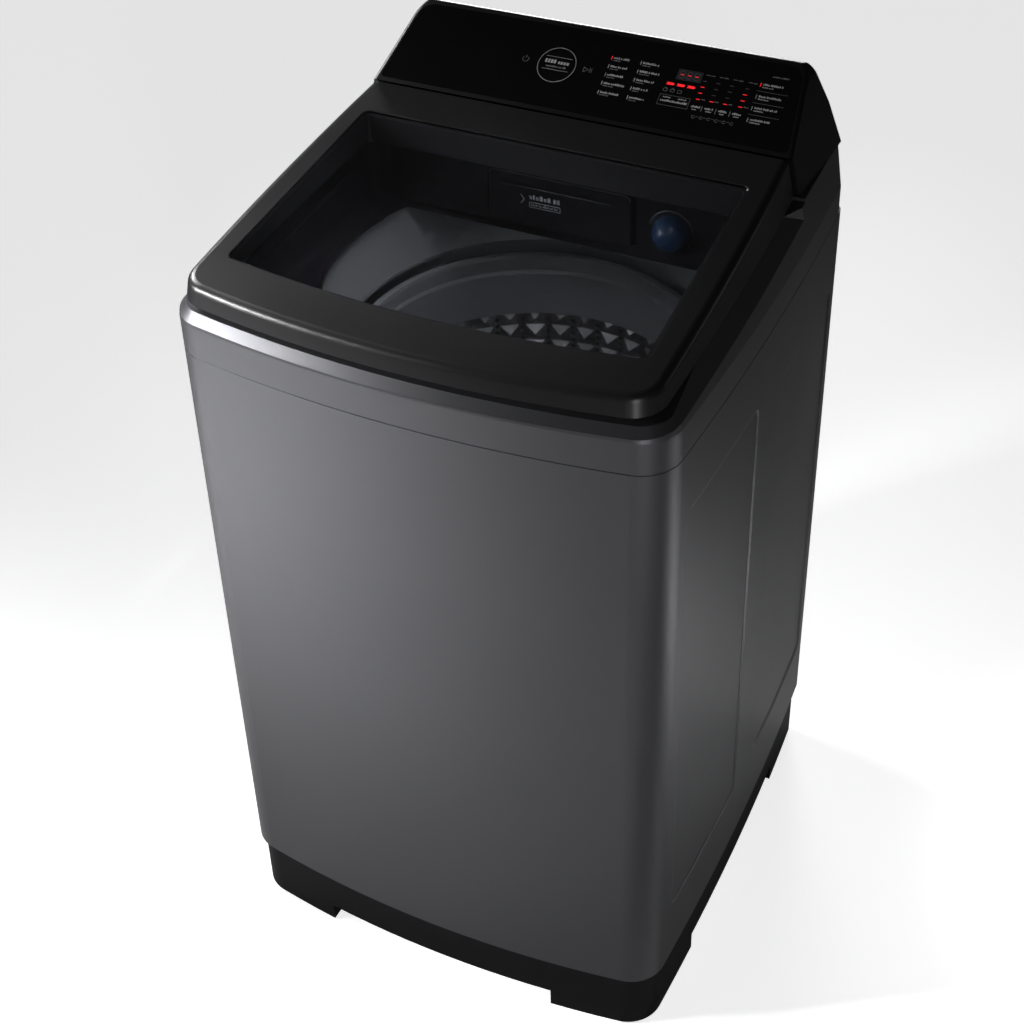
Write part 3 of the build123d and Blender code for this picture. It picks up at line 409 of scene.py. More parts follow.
STAGES = 3
STAGE_PLACE = (84.6, 60.3)
STAGE_PITCH = 11.6
STAGE_SHAPE = ((0, -1.5), (7.8, -1.5), (9.2, 0), (7.8, 1.5), (0, 1.5), (1.2, 0))
LOCK_PLACE = (86.0, 52.4)
LOCK_PITCH = 8.0
LOCK_BODY = (4.2, 3.2, 0.45)
LOCK_ARCH = (1.3, 0.4)
LOCK_ARCH_RISE = 1.6

DISPLAY_PLACE = (106.0, 73.4)
FIGURE_PITCH = 8.0
FIGURE = (4.8, 8.6, 0.85)

KEY_STROKE = 0.5
POWER_PLACE = (-78.0, 59.0)
POWER_R = 3.4
POWER_STEM = 3.8
POWER_STEM_RISE = 2.8
CYCLE_PLACE = (-41.0, 58.0)
CYCLE_RING = (21.4, 0.55)
CYCLE_RULES = (9.5, -6.5)
CYCLE_RULE = (30.0, 0.4)
CYCLE_NAME = (-14.5, 3.6, 28.0, 4.6, 61)
CYCLE_NOTE = (-11.5, -2.4, 22.0, 2.4, 67)
START_PLACE = (-4.5, 58.6)
START_ARROW = ((-5.2, -3.0), (0.2, 0), (-5.2, 3.0))
START_BARS = (2.0, 4.0)
START_BAR_HEIGHT = 6.0
OPTION_PLACE = (99.5, 40.3)
OPTION_FRAME = (33.6, 12.6)
OPTION_LINES = ((-14.5, -0.6, 29.0, 2.4, 71), (-13.0, 3.6, 8.0, 1.5, 73), (4.0, 3.6, 9.0, 1.5, 75))
STAGE_KEYS = {"level_key": 124.5, "wash_key": 139.5, "rinse_key": 154.5, "spin_key": 169.8}
STAGE_KEY_LINES = ((-4.8, 38.8, 9.0, 2.4, 80), (-3.0, 35.4, 5.5, 1.4, 84))
SIDE_KEY_ROWS = (77.5, 63.0, 48.8, 34.6)
SIDE_KEY_U = 185.2
SIDE_KEY_LENGTH = 20.0
SIDE_KEY_LENGTH_SPREAD = 5.0
SIDE_KEY_NAME_HEIGHT = 2.4
SIDE_KEY_NAME_LIFT = 1.2
SIDE_KEY_NOTE = (0, -2.2, 11.0, 1.4, 95)
SIDE_KEY_TICK_U = 182.6
SIDE_KEY_TICK = (0.7, 4.8)
SIDE_KEY_TICK_LIFT = 0.2


def on_face(u, v, lift):
    c, s = math.cos(FACE_ANGLE), math.sin(FACE_ANGLE)
    return Vector((u, FACE_LOW[0] + v * c - lift * s, FACE_LOW[1] + v * s + lift * c)) * MM


def new_piece(name, bm, material, body, smooth=False):
    """Turns a bmesh into a piece of the object that rides on a body."""
    mesh = bpy.data.meshes.new(name)
    bm.to_mesh(mesh)
    bm.free()
    mesh.materials.append(material)
    if smooth:
        mesh.shade_smooth()
    piece = bpy.data.objects.new(name, mesh)
    bpy.context.scene.collection.objects.link(piece)
    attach(piece, body)
    return piece


def print_marks(name, shapes, material, body, place=on_face,
                low=PRINT_LOW, high=PRINT_HIGH):
    """Thin inked shapes, each an outline of (u, v) points running anticlockwise."""
    bm = bmesh.new()
    for shape in shapes:
        under = [bm.verts.new(place(u, v, low)) for u, v in shape]
        over = [bm.verts.new(place(u, v, high)) for u, v in shape]
        bm.faces.new(over)
        bm.faces.new(under[::-1])
        for i in range(len(shape)):
            j = (i + 1) % len(shape)
            bm.faces.new((under[i], under[j], over[j], over[i]))
    new_piece(name, bm, material, body)


def bar(u, v, width, height):
    """Rectangle centred on (u, v)."""
    w, h = width / 2, height / 2
    return [(u - w, v - h), (u + w, v - h), (u + w, v + h), (u - w, v + h)]


def arc_band(u, v, radius, stroke, start, end, steps):
    """Part of a ring, as a row of four-sided pieces."""
    def spot(distance, angle):
        return (u + distance * math.cos(angle), v + distance * math.sin(angle))

    inner, outer = radius - stroke / 2, radius + stroke / 2
    angles = [math.radians(start + (end - start) * k / steps) for k in range(steps + 1)]
    return [[spot(inner, a), spot(outer, a), spot(outer, b), spot(inner, b)]
            for a, b in zip(angles, angles[1:])]


def outline(u, v, width, height, stroke):
    w, h = width / 2, height / 2
    return [bar(u, v - h, width, stroke), bar(u, v + h, width, stroke),
            bar(u - w, v, stroke, height - stroke), bar(u + w, v, stroke, height - stroke)]


def stroked(corners, stroke):
    """Outline of a closed shape, as one thin four-sided piece along each side."""
    pieces = []
    for (u0, v0), (u1, v1) in zip(corners, corners[1:] + corners[:1]):
        length = math.hypot(u1 - u0, v1 - v0)
        du, dv = (u1 - u0) / length * stroke / 2, (v1 - v0) / length * stroke / 2
        pieces.append([(u0 + dv, v0 - du), (u1 + dv, v1 - du), (u1 - dv, v1 + du), (u0 - dv, v0 + du)])
    return pieces


def uneven(step, seed):
    """Repeatable number between 0 and 1."""
    return math.sin(step * 12.9898 + seed * 78.233) * 43758.5453 % 1.0


def dummy_line(u, v, length, height, seed):
    """A line of small plain blocks of uneven width, starting at u."""
    shapes = []
    at, step = u, 0
    while at < u + length:
        width = height * (0.38 + 0.3 * uneven(step, seed))
        tall = height * (0.72 + 0.28 * round(uneven(step, seed + 5)))
        shapes.append(bar(at + width / 2, v + (tall - height) / 2, width, tall))
        at += width + height * 0.22
        step += 1
        if step % (4 + int(3 * uneven(step, seed + 9))) == 0:
            at += height * 0.4
    return shapes


def dummy_lines(u, v, lines, seed=0):
    """Lines of blocks about a common place, each as (u, v, length, height, seed)."""
    return [shape for du, dv, length, height, own in lines
            for shape in dummy_line(u + du, v + dv, length, height, own + seed)]


def seven_segments(u, v, width, height, stroke):
    """Upright strokes and cross strokes of one figure."""
    w, h = width / 2, height / 2
    cross = [bar(u, v + s * h, width - 1.3 * stroke, stroke) for s in (-1, 0, 1)]
    upright = [bar(u + a * w, v + b * h / 2, stroke, h - 1.3 * stroke)
               for a in (-1, 1) for b in (-1, 1)]
    return cross, upright


def print_programmes(marks):
    """Two columns of programmes, the first of them lit."""
    for column, u in enumerate(PROGRAMME_COLUMNS):
        for row, v in enumerate(PROGRAMME_ROWS):
            tick = bar(u, v + PROGRAMME_TICK_LIFT, *PROGRAMME_TICK)
            marks["lit" if (column, row) == (0, 0) else "white"].append(tick)
            at = u + PROGRAMME_INDENT
            length = PROGRAMME_LENGTH + PROGRAMME_LENGTH_SPREAD * uneven(row, column + 3)
            name = dummy_line(at, v + NAME_LIFT, length, NAME_HEIGHT, row + 11 * column)
            note = dummy_line(at, v - NOTE_DROP, length * NOTE_SHARE, NOTE_HEIGHT, row + 7 * column + 2)
            marks["white"].extend(name)
            marks["grey"].extend(note)


def print_lights(marks):
    """Columns of indicator lights with a heading and a footing, and dividers between their keys."""
    for column, u in enumerate(LIGHT_COLUMNS):
        marks["grey"].append(bar(u + HEADING_BAR_INDENT, HEADING_V, *HEADING_BAR))
        marks["grey"].extend(dummy_line(u + HEADING_INDENT, HEADING_V, HEADING_LENGTH, NOTE_HEIGHT, column))
        for row, v in enumerate(LIGHT_ROWS):
            marks["lit" if (column, row) in LIT else "unlit"].append(bar(u, v, *LIGHT_BAR))
        marks["grey"].extend(dummy_line(u + FOOTING_INDENT, LIGHT_ROWS[3] + FOOTING_LIFT,
                                        HEADING_LENGTH, FOOTING_HEIGHT, column + 31))
    for u in DIVIDERS:
        marks["white"].append(bar(u, DIVIDER_V, HAIRLINE, DIVIDER_HEIGHT))


def print_symbols(marks):
    """Row of open rings joined by arches, then the rules and the note at the right."""
    for k in range(SYMBOLS):
        u, v, radius, stroke = SYMBOL_RING
        marks["grey"].extend(arc_band(u + SYMBOL_PITCH * k, v, radius, stroke, 20, 340, 10))
        if k < SYMBOLS - 1:
            u, v, radius, stroke = SYMBOL_ARCH
            marks["grey"].extend(arc_band(u + SYMBOL_PITCH * k, v, radius, stroke, 20, 160, 5))
    for v in SIDE_RULES:
        marks["grey"].append(bar(SIDE_RULE_U, v, SIDE_RULE_LENGTH, HAIRLINE))
    marks["grey"].extend(dummy_line(*CORNER_NOTE))


def print_stages(marks):
    """Lit arrows of the stages, with small lock symbols under them."""
    for k in range(STAGES):
        u, v = STAGE_PLACE
        marks["lit"].append([(u + STAGE_PITCH * k + du, v + dv) for du, dv in STAGE_SHAPE])
        u, v = LOCK_PLACE[0] + LOCK_PITCH * k, LOCK_PLACE[1]
        marks["grey"].extend(outline(u, v, *LOCK_BODY))
        if k < STAGES - 1:
            marks["grey"].extend(arc_band(u, v + LOCK_ARCH_RISE, *LOCK_ARCH, 0, 180, 6))


def add_console_prints():
    marks = {"white": [], "grey": [], "lit": [], "unlit": []}
    for step in (print_programmes, print_lights, print_symbols, print_stages):
        step(marks)
    print_marks("panel_print_white", marks["white"], INK["white"], "cabinet")
    print_marks("panel_print_grey", marks["grey"], INK["grey"], "cabinet")
    print_marks("panel_lights", marks["lit"], INK["red"], "cabinet")
    print_marks("panel_unlit", marks["unlit"], INK["ember"], "cabinet")
    figures, dashes = [], []
    for k in (-1, 0, 1):
        cross, upright = seven_segments(DISPLAY_PLACE[0] + FIGURE_PITCH * k, DISPLAY_PLACE[1], *FIGURE)
        figures.extend(upright + [cross[0], cross[2]])
        dashes.append(cross[1])
    for name, shapes, ink in (("display_figures", figures, "ember"), ("display_dashes", dashes, "red")):
        print_marks(name, shapes, INK[ink], "cabinet", low=LENS_LOW, high=LENS_HIGH)


def add_key_prints():
    ink, dim, red = INK["white"], INK["grey"], INK["red"]
    u, v = POWER_PLACE
    power = arc_band(u, v, POWER_R, KEY_STROKE, 125, 415, 22)
    power.append(bar(u, v + POWER_STEM_RISE, KEY_STROKE, POWER_STEM))
    print_marks("power_mark", power, dim, "power_key")
    u, v = CYCLE_PLACE
    cycle = arc_band(u, v, *CYCLE_RING, 0, 360, 72)
    cycle += [bar(u, v + rise, *CYCLE_RULE) for rise in CYCLE_RULES]
    print_marks("cycle_mark", cycle + dummy_lines(u, v, [CYCLE_NAME]), ink, "cycle_key")
    print_marks("cycle_submark", dummy_lines(u, v, [CYCLE_NOTE]), dim, "cycle_key")
    u, v = START_PLACE
    start = stroked([(u + du, v + dv) for du, dv in START_ARROW], KEY_STROKE)
    start += [bar(u + du, v, KEY_STROKE, START_BAR_HEIGHT) for du in START_BARS]
    print_marks("start_mark", start, dim, "start_key")
    u, v = OPTION_PLACE
    print_marks("option_frame", outline(u, v, *OPTION_FRAME, HAIRLINE), dim, "option_key")
    print_marks("option_mark", dummy_lines(u, v, OPTION_LINES), ink, "option_key")
    for k, (body, u) in enumerate(STAGE_KEYS.items()):
        print_marks(body + "_mark", dummy_lines(u, 0, STAGE_KEY_LINES, k), ink, body)
    for k, v in enumerate(SIDE_KEY_ROWS):
        body = f"side_key_{k + 1}"
        length = SIDE_KEY_LENGTH + SIDE_KEY_LENGTH_SPREAD * uneven(k, 4)
        marks = dummy_line(SIDE_KEY_U, v + SIDE_KEY_NAME_LIFT, length, SIDE_KEY_NAME_HEIGHT, 90 + k)
        print_marks(body + "_mark", marks + dummy_lines(SIDE_KEY_U, v, [SIDE_KEY_NOTE], k), ink, body)
        tick = bar(SIDE_KEY_TICK_U, v + SIDE_KEY_TICK_LIFT, *SIDE_KEY_TICK)
        print_marks(body + "_tick", [tick], red if k == 0 else ink, body)


# Copies set out by Geometry Nodes

def make_copies_tree():
    """Sets one shape on every point, its own Z along the point's stored facing."""
    tree = bpy.data.node_groups.new("placed_copies", "GeometryNodeTree")
    new_socket = tree.interface.new_socket
    new_socket("Geometry", in_out="INPUT", socket_type="NodeSocketGeometry")
    new_socket("Shape", in_out="INPUT", socket_type="NodeSocketObject")
    new_socket("Turn Spread", in_out="INPUT", socket_type="NodeSocketFloat")
    new_socket("Finish", in_out="INPUT", socket_type="NodeSocketMaterial")
    new_socket("Geometry", in_out="OUTPUT", socket_type="NodeSocketGeometry")
    add = tree.nodes.new
    link = tree.links.new
    inside, out = add("NodeGroupInput"), add("NodeGroupOutput")
    points = add("GeometryNodeMeshToPoints")
    facing = add("GeometryNodeInputNamedAttribute")
    facing.data_type = "FLOAT_VECTOR"
    facing.inputs["Name"].default_value = "facing"
    align = add("FunctionNodeAlignRotationToVector")
    align.axis = "Z"
    turn = add("FunctionNodeRandomValue")
    turn.data_type = "FLOAT"
    turn.inputs["Seed"].default_value = 4
    about = add("FunctionNodeAxisAngleToRotation")
    about.inputs["Axis"].default_value = (0.0, 0.0, 1.0)
    spun = add("FunctionNodeRotateRotation")
    spun.rotation_space = "LOCAL"
    shape = add("GeometryNodeObjectInfo")
    copies = add("GeometryNodeInstanceOnPoints")
    real = add("GeometryNodeRealizeInstances")
    finish = add("GeometryNodeSetMaterial")
    link(inside.outputs["Geometry"], points.inputs["Mesh"])
    link(points.outputs["Points"], copies.inputs["Points"])
    link(inside.outputs["Shape"], shape.inputs["Object"])
    link(shape.outputs["Geometry"], copies.inputs["Instance"])
    link(facing.outputs["Attribute"], align.inputs["Vector"])
    link(inside.outputs["Turn Spread"], turn.inputs[3])
    link(turn.outputs[1], about.inputs["Angle"])
    link(align.outputs["Rotation"], spun.inputs["Rotation"])
    link(about.outputs["Rotation"], spun.inputs["Rotate By"])
    link(spun.outputs["Rotation"], copies.inputs["Rotation"])
    link(copies.outputs["Instances"], real.inputs["Geometry"])
    link(real.outputs["Geometry"], finish.inputs["Geometry"])
    link(inside.outputs["Finish"], finish.inputs["Material"])
    link(finish.outputs["Geometry"], out.inputs["Geometry"])
    return tree


COPIES = make_copies_tree()


def placed_copies(name, shape_bm, places, material, body, turn=0.0):
    """One mesh of copies of a shape; places are (point, facing) pairs in metres."""
    collection = bpy.context.scene.collection
    shape_mesh = bpy.data.meshes.new(name + "_shape")
    shape_bm.to_mesh(shape_mesh)
    shape_bm.free()
    shape = bpy.data.objects.new(name + "_shape", shape_mesh)
    collection.objects.link(shape)
    seeds = bpy.data.meshes.new(name + "_seeds")
    seeds.from_pydata([place for place, facing in places], [], [])
    stored = seeds.attributes.new("facing", "FLOAT_VECTOR", "POINT")
    for item, (place, facing) in zip(stored.data, places):
        item.vector = facing
    holder = bpy.data.objects.new(name + "_seeds", seeds)
    collection.objects.link(holder)
    rule = holder.modifiers.new("copies", "NODES")
    rule.node_group = COPIES
    values = {"Shape": shape, "Turn Spread": turn, "Finish": material}
    for item in COPIES.interface.items_tree:
        if item.in_out == "INPUT" and item.name in values:
            rule[item.identifier] = values[item.name]
    ready = holder.evaluated_get(bpy.context.evaluated_depsgraph_get())
    mesh = bpy.data.meshes.new_from_object(ready)
    mesh.name = name
    piece = bpy.data.objects.new(name, mesh)
    collection.objects.link(piece)
    for spare in (holder, shape):
        bpy.data.objects.remove(spare)
    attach(piece, body)


def turned_shape(profile, sides):
    """Closed shape turned about Z from (radius, z) points in millimetres, first and last on the axis."""
    bm = bmesh.new()
    turns = [2 * math.pi * k / sides for k in range(sides)]
    rings = []
    for radius, z in profile:
        if radius == 0:
            rings.append([bm.verts.new((0, 0, z * MM))])
            continue
        points = [(radius * math.cos(a) * MM, radius * math.sin(a) * MM, z * MM) for a in turns]
        rings.append([bm.verts.new(point) for point in points])
    for lower, upper in zip(rings, rings[1:]):
        for k in range(sides):
            j = (k + 1) % sides
            corners = [lower[k % len(lower)], lower[j % len(lower)],
                       upper[j % len(upper)], upper[k % len(upper)]]
            unique = list(dict.fromkeys(corners))
            if len(unique) > 2:
                bm.faces.new(unique)
    bmesh.ops.recalc_face_normals(bm, faces=bm.faces)
    return bm


# Embossed drum wall

AXIS_Y = 10.0
DRUM_R = 196.5
DRUM_SHEET = 1.2
RING_LOW = 639.0
EMBOSS_UNITS = 40
BEAD_SHARE = 0.25
BEAD_HEIGHT = 1.6
PYRAMID_HEIGHT = 6.0
TILE_HEIGHT = 22.0
PLAIN_BAND = 16.0
HOLE_PITCH = 8.8
HOLE_PROFILE = [(0, 0.02), (1.8, 0.02), (2.2, 0.22), (2.6, 0.05), (2.6, -0.6), (0, -0.6)]
HOLE_SIDES = 10
BEAD_SECTION = [(0.0, 0.0), (0.25, 0.72), (0.5, 1.0), (0.75, 0.72)]


def about_axis(radius, angle, z):
    return Vector((radius * math.sin(angle), AXIS_Y - radius * math.cos(angle), z)) * MM


def drum_rows():
    """Heights of the drum wall's two ends, and of the rows of pyramids from the balance ring down."""
    low, high = (corner[2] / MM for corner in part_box("drum_shell"))
    rows = int((RING_LOW - low - PLAIN_BAND) // TILE_HEIGHT)
    return low, high, [RING_LOW - TILE_HEIGHT * k for k in range(rows, -1, -1)]


def add_drum_wall():
    """Stainless wall: rows of pyramids pressed inwards between upright beads."""
    low, high, rows = drum_rows()
    levels = [low, *rows, high]
    unit = 2 * math.pi / EMBOSS_UNITS
    inner_r = DRUM_R - DRUM_SHEET
    bm = bmesh.new()
    inner, outer = [], []
    for z in levels:
        in_field = rows[0] <= z <= rows[-1]
        inner_ring, outer_ring = [], []
        for k in range(EMBOSS_UNITS):
            for across, rise in BEAD_SECTION:
                lift = rise * BEAD_HEIGHT if in_field else 0.0
                angle = unit * (k + across * BEAD_SHARE)
                inner_ring.append(bm.verts.new(about_axis(inner_r - lift, angle, z)))
                outer_ring.append(bm.verts.new(about_axis(DRUM_R, angle, z)))
            angle = unit * (k + BEAD_SHARE)
            inner_ring.append(bm.verts.new(about_axis(inner_r, angle, z)))
            outer_ring.append(bm.verts.new(about_axis(DRUM_R, angle, z)))
        inner.append(inner_ring)
        outer.append(outer_ring)
    per_unit = len(BEAD_SECTION) + 1
    count = per_unit * EMBOSS_UNITS
    for level in range(len(levels) - 1):
        for k in range(count):
            j = (k + 1) % count
            quad = (inner[level][k], inner[level + 1][k], inner[level + 1][j], inner[level][j])
            bm.faces.new((outer[level][k], outer[level][j], outer[level + 1][j], outer[level + 1][k]))
            if k % per_unit == len(BEAD_SECTION) and 0 < level < len(levels) - 2:
                angle = unit * (k // per_unit + (1 + BEAD_SHARE) / 2)
                z = (levels[level] + levels[level + 1]) / 2
                tip = bm.verts.new(about_axis(inner_r - PYRAMID_HEIGHT, angle, z))
                for a, b in zip(quad, quad[1:] + quad[:1]):
                    bm.faces.new((a, b, tip))
            else:
                bm.faces.new(quad)
    for k in range(count):
        j = (k + 1) % count
        bm.faces.new((inner[0][k], inner[0][j], outer[0][j], outer[0][k]))
        bm.faces.new((outer[-1][k], outer[-1][j], inner[-1][j], inner[-1][k]))
    bmesh.ops.recalc_face_normals(bm, faces=bm.faces)
    wall = new_piece("drum_wall", bm, FINISH["stainless"], "drum")
    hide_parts("drum_shell")


def add_drum_holes():
    """Round holes in a column on each bead, drawn as dark discs of painted shade."""
    rows = drum_rows()[2]
    unit = 2 * math.pi / EMBOSS_UNITS
    radius = DRUM_R - DRUM_SHEET - BEAD_HEIGHT
    steps = int((rows[-1] - rows[0]) / HOLE_PITCH)
    places = []
    for k in range(EMBOSS_UNITS):
        angle = unit * (k + BEAD_SHARE / 2)
        inwards = Vector((-math.sin(angle), math.cos(angle), 0))
        for step in range(steps):
            places.append((about_axis(radius, angle, rows[-1] - HOLE_PITCH * (step + 0.5)), inwards))
    shape = turned_shape(HOLE_PROFILE, HOLE_SIDES)
    placed_copies("drum_perforations", shape, places, FINISH["hole_painted_shade"], "drum")


# Lid window and dispenser trim

WINDOW_FRONT = (224.5, -201.5)
WINDOW_REAR = (219.5, 71.5)
WINDOW_BOW = 18.0
WINDOW_R = 9.0
LID_TOP_Z = 917.0
LID_TOP_SLOPE = 0.1332
BEVEL_SECTION = [(1.1, 0.03), (0.6, -0.04), (0.05, -0.6), (0.05, -0.9), (1.1, -0.3)]
DRAWER_FRONT_Y = 92.0
DRAWER_TOP = 872.6
DRAWER_HALF = 82.6
DRAWER_CORNER_R = 7.0
DRAWER_SLOT_Z = 858.0
DRAWER_SLOT_ENDS = (-69.0, 61.0)
DRAWER_TRIM_R = 0.9
DRAWER_TRIM_BACK = 0.5
DRAWER_MARK_PLACE = (-41.0, 843.5)
DRAWER_CHEVRON = ((-3.1, 5.4), (1.0, 0), (-3.1, -5.4), (-4.5, -5.4), (-0.6, 0), (-4.5, 5.4))
DRAWER_NAME = (6.5, 4.2, 36.0, 5.4, 120)
DRAWER_FRAME_PLACE = (24.5, -5.0)
DRAWER_FRAME = (36.0, 6.0, 0.8)
DRAWER_NOTE = (8.5, -5.0, 31.0, 2.6, 125)
WELL_REAR_Y = 101.0
HOOD_PLACE = (127.0, 838.0)
HOOD_R = 24.6
HOOD_BEAD_R = 1.3
HOOD_FORWARD = 3.6


def rounded_corner(before, corner, after, radius, steps):
    """Arc that rounds a corner between two straight directions."""
    u, v = (before - corner).normalized(), (after - corner).normalized()
    half = math.acos(u.dot(v)) / 2
    middle = corner + (u + v).normalized() * radius / math.sin(half)
    first = corner + u * radius / math.tan(half) - middle
    last = corner + v * radius / math.tan(half) - middle
    turn = first.angle_signed(last)
    return [middle + Matrix.Rotation(-turn * k / steps, 2) @ first for k in range(steps + 1)]


def window_outline():
    """Plan of the lid window, anticlockwise seen from above."""
    (xf, yf), (xr, yr) = WINDOW_FRONT, WINDOW_REAR
    bow_r = (xf * xf + WINDOW_BOW * WINDOW_BOW) / (2 * WINDOW_BOW)

    def bow(x):
        return Vector((x, yf - WINDOW_BOW + bow_r - math.sqrt(bow_r * bow_r - x * x)))

    reach = xf - WINDOW_R - 2
    right_rear, left_rear = Vector((xr, yr)), Vector((-xr, yr))
    corners = [(bow(reach), bow(xf), right_rear), (Vector((xf, yf)), right_rear, left_rear),
               (right_rear, left_rear, Vector((-xf, yf))), (left_rear, bow(-xf), bow(-reach))]
    points = [bow(reach * k / 14) for k in range(-14, 15)]
    for before, corner, after in corners:
        points += rounded_corner(before, corner, after, WINDOW_R, 6)
    return points


def ring_sweep(points, section, place):
    """Closed section carried round a closed outline; section points are (outwards, lift)."""
    bm = bmesh.new()
    count = len(points)
    rings = []
    for k, point in enumerate(points):
        along = (points[(k + 1) % count] - points[k - 1]).normalized()
        outwards = Vector((along.y, -along.x))
        rings.append([bm.verts.new(place(point + outwards * out, lift)) for out, lift in section])
    for k in range(count):
        here, there = rings[k], rings[(k + 1) % count]
        for i in range(len(section)):
            j = (i + 1) % len(section)
            bm.faces.new((here[i], there[i], there[j], here[j]))
    bmesh.ops.recalc_face_normals(bm, faces=bm.faces)
    return bm


def on_lid(point, lift):
    return Vector((point.x, point.y, LID_TOP_Z + LID_TOP_SLOPE * point.y + lift)) * MM


def add_window_bevel():
    bm = ring_sweep(window_outline(), BEVEL_SECTION, on_lid)
    new_piece("window_bevel", bm, FINISH["bevel_black"], "lid")


def on_drawer(u, v, lift):
    return Vector((u, DRAWER_FRONT_Y - lift, v)) * MM


def add_drawer_mark():
    u, v = DRAWER_MARK_PLACE
    marks = [[(u + du, v + dv) for du, dv in DRAWER_CHEVRON]]
    marks += dummy_lines(u, v, [DRAWER_NAME])
    marks += outline(u + DRAWER_FRAME_PLACE[0], v + DRAWER_FRAME_PLACE[1], *DRAWER_FRAME)
    marks += dummy_lines(u, v, [DRAWER_NOTE])
    print_marks("drawer_mark", marks, INK["grey"], "drawer", on_drawer)


def bead_along(path, radius, sides=8):
    """Round bead along an open path that lies square to the Y axis."""
    bm = bmesh.new()
    rings = []
    last = len(path) - 1
    for k, point in enumerate(path):
        along = (path[min(k + 1, last)] - path[max(k - 1, 0)]).normalized()
        side = along.cross(Vector((0, 1, 0))).normalized()
        other = side.cross(along)
        angles = [2 * math.pi * n / sides for n in range(sides)]
        offsets = [radius * (math.cos(a) * side + math.sin(a) * other) for a in angles]
        rings.append([bm.verts.new((point + offset) * MM) for offset in offsets])
    for here, there in zip(rings, rings[1:]):
        for n in range(sides):
            m = (n + 1) % sides
            bm.faces.new((here[n], here[m], there[m], there[n]))
    bm.faces.new(rings[0][::-1])
    bm.faces.new(rings[-1])
    bmesh.ops.recalc_face_normals(bm, faces=bm.faces)
    return bm


def arc_path(x, y, z, radius, start, end, steps):
    """Points on an upright arc that faces the front."""
    angles = [math.radians(start + (end - start) * k / steps) for k in range(steps + 1)]
    return [Vector((x + radius * math.cos(a), y, z + radius * math.sin(a))) for a in angles]


def add_drawer_trim():
    """Rolled edges of the drawer front and of its finger slot, in a lighter black that paints a highlight
    along them.
    """
    y = DRAWER_FRONT_Y + DRAWER_TRIM_BACK
    x, z = DRAWER_HALF - DRAWER_CORNER_R, DRAWER_TOP - DRAWER_CORNER_R
    rim = arc_path(x, y, z, DRAWER_CORNER_R, 0, 90, 6) + arc_path(-x, y, z, DRAWER_CORNER_R, 90, 180, 6)
    slot = [Vector((x, y, DRAWER_SLOT_Z)) for x in DRAWER_SLOT_ENDS]
    for name, path in (("drawer_rim", rim), ("drawer_slot_lip", slot)):
        bead = bead_along(path, DRAWER_TRIM_R)
        new_piece(name, bead, FINISH["edge_painted_highlight"], "drawer", True)


def add_cap_hood():
    """Rolled edge of the arch over the softener cap, in a lighter black that paints a highlight along it.
    """
    x, z = HOOD_PLACE
    bead = bead_along(arc_path(x, WELL_REAR_Y - HOOD_FORWARD, z, HOOD_R, 10, 170, 24), HOOD_BEAD_R)
    new_piece("cap_hood", bead, FINISH["edge_painted_highlight"], "cabinet", True)


# Well under the lid

WELL_CENTRE_Y = -10.0
WELL_RIM_R = 205.2
WELL_FLOOR = 806.0
WELL_SIDE = 228.0
WELL_FRONT = -230.0
WELL_CORNER_R = 37.0
SIDE_RADIUS = 4175.0
SIDE_WIDEST_Y = -60.0
FRONT_RADIUS = 1363.5
LID_LOW_Z = 881.6
LID_LOW_SLOPE = 0.0756
LINING_DROP = 22.0
LINING_SHEET = 1.2
RIM_STRETCH = 20.0
SIDE_STATIONS = range(70, -161, -23)
FRONT_STATIONS = range(175, 0, -25)
CORNER_REACH = 60.0
WELL_SECTION = [(0.0, 1.0), (0.02, 0.75), (0.05, 0.5), (0.12, 0.3), (0.25, 0.16), (0.42, 0.08),
                (0.58, 0.05), (0.7, 0.08), (0.8, 0.13), (0.9, 0.13), (0.97, 0.08), (1.0, 0.0), (1.0, -0.1)]


def well_wall():
    """Plan of the well wall, from its right rear round the front to its left rear."""
    def side(y):
        return Vector((WELL_SIDE - (y - SIDE_WIDEST_Y) ** 2 / (2 * SIDE_RADIUS), y))

    def front(x):
        return Vector((x, WELL_FRONT + x * x / (2 * FRONT_RADIUS)))

    corner = side(front(WELL_SIDE).y)
    right = [side(y) for y in SIDE_STATIONS]
    right += rounded_corner(side(corner.y + CORNER_REACH), corner, front(corner.x - CORNER_REACH),
                            WELL_CORNER_R, 8)
    right += [front(x) for x in FRONT_STATIONS]
    return right + [front(0)] + [Vector((-p.x, p.y)) for p in reversed(right)]


def add_well_lining():
    """Moulded lining that rolls from the well wall into a raised rim round the wash opening."""
    centre = Vector((0, WELL_CENTRE_Y))
    bm = bmesh.new()
    rows = []
    for point in well_wall():
        out = (point - centre).normalized()
        rim = centre + out * (WELL_RIM_R + RIM_STRETCH * max(0.0, out.y))
        top = LID_LOW_Z + LID_LOW_SLOPE * point.y - LINING_DROP
        row = []
        for across, rise in WELL_SECTION:
            spot = point.lerp(rim, across)
            z = WELL_FLOOR + rise * (top - WELL_FLOOR)
            row.append(bm.verts.new(Vector((spot.x, spot.y, z)) * MM))
        rows.append(row)
    for here, there in zip(rows, rows[1:]):
        for k in range(len(WELL_SECTION) - 1):
            bm.faces.new((here[k], there[k], there[k + 1], here[k + 1]))
    bmesh.ops.recalc_face_normals(bm, faces=bm.faces)
    bmesh.ops.solidify(bm, geom=bm.faces, thickness=LINING_SHEET * MM)
    bmesh.ops.recalc_face_normals(bm, faces=bm.faces)
    new_piece("well_lining", bm, FINISH["inner_black"], "cabinet", True)


# Pulsator

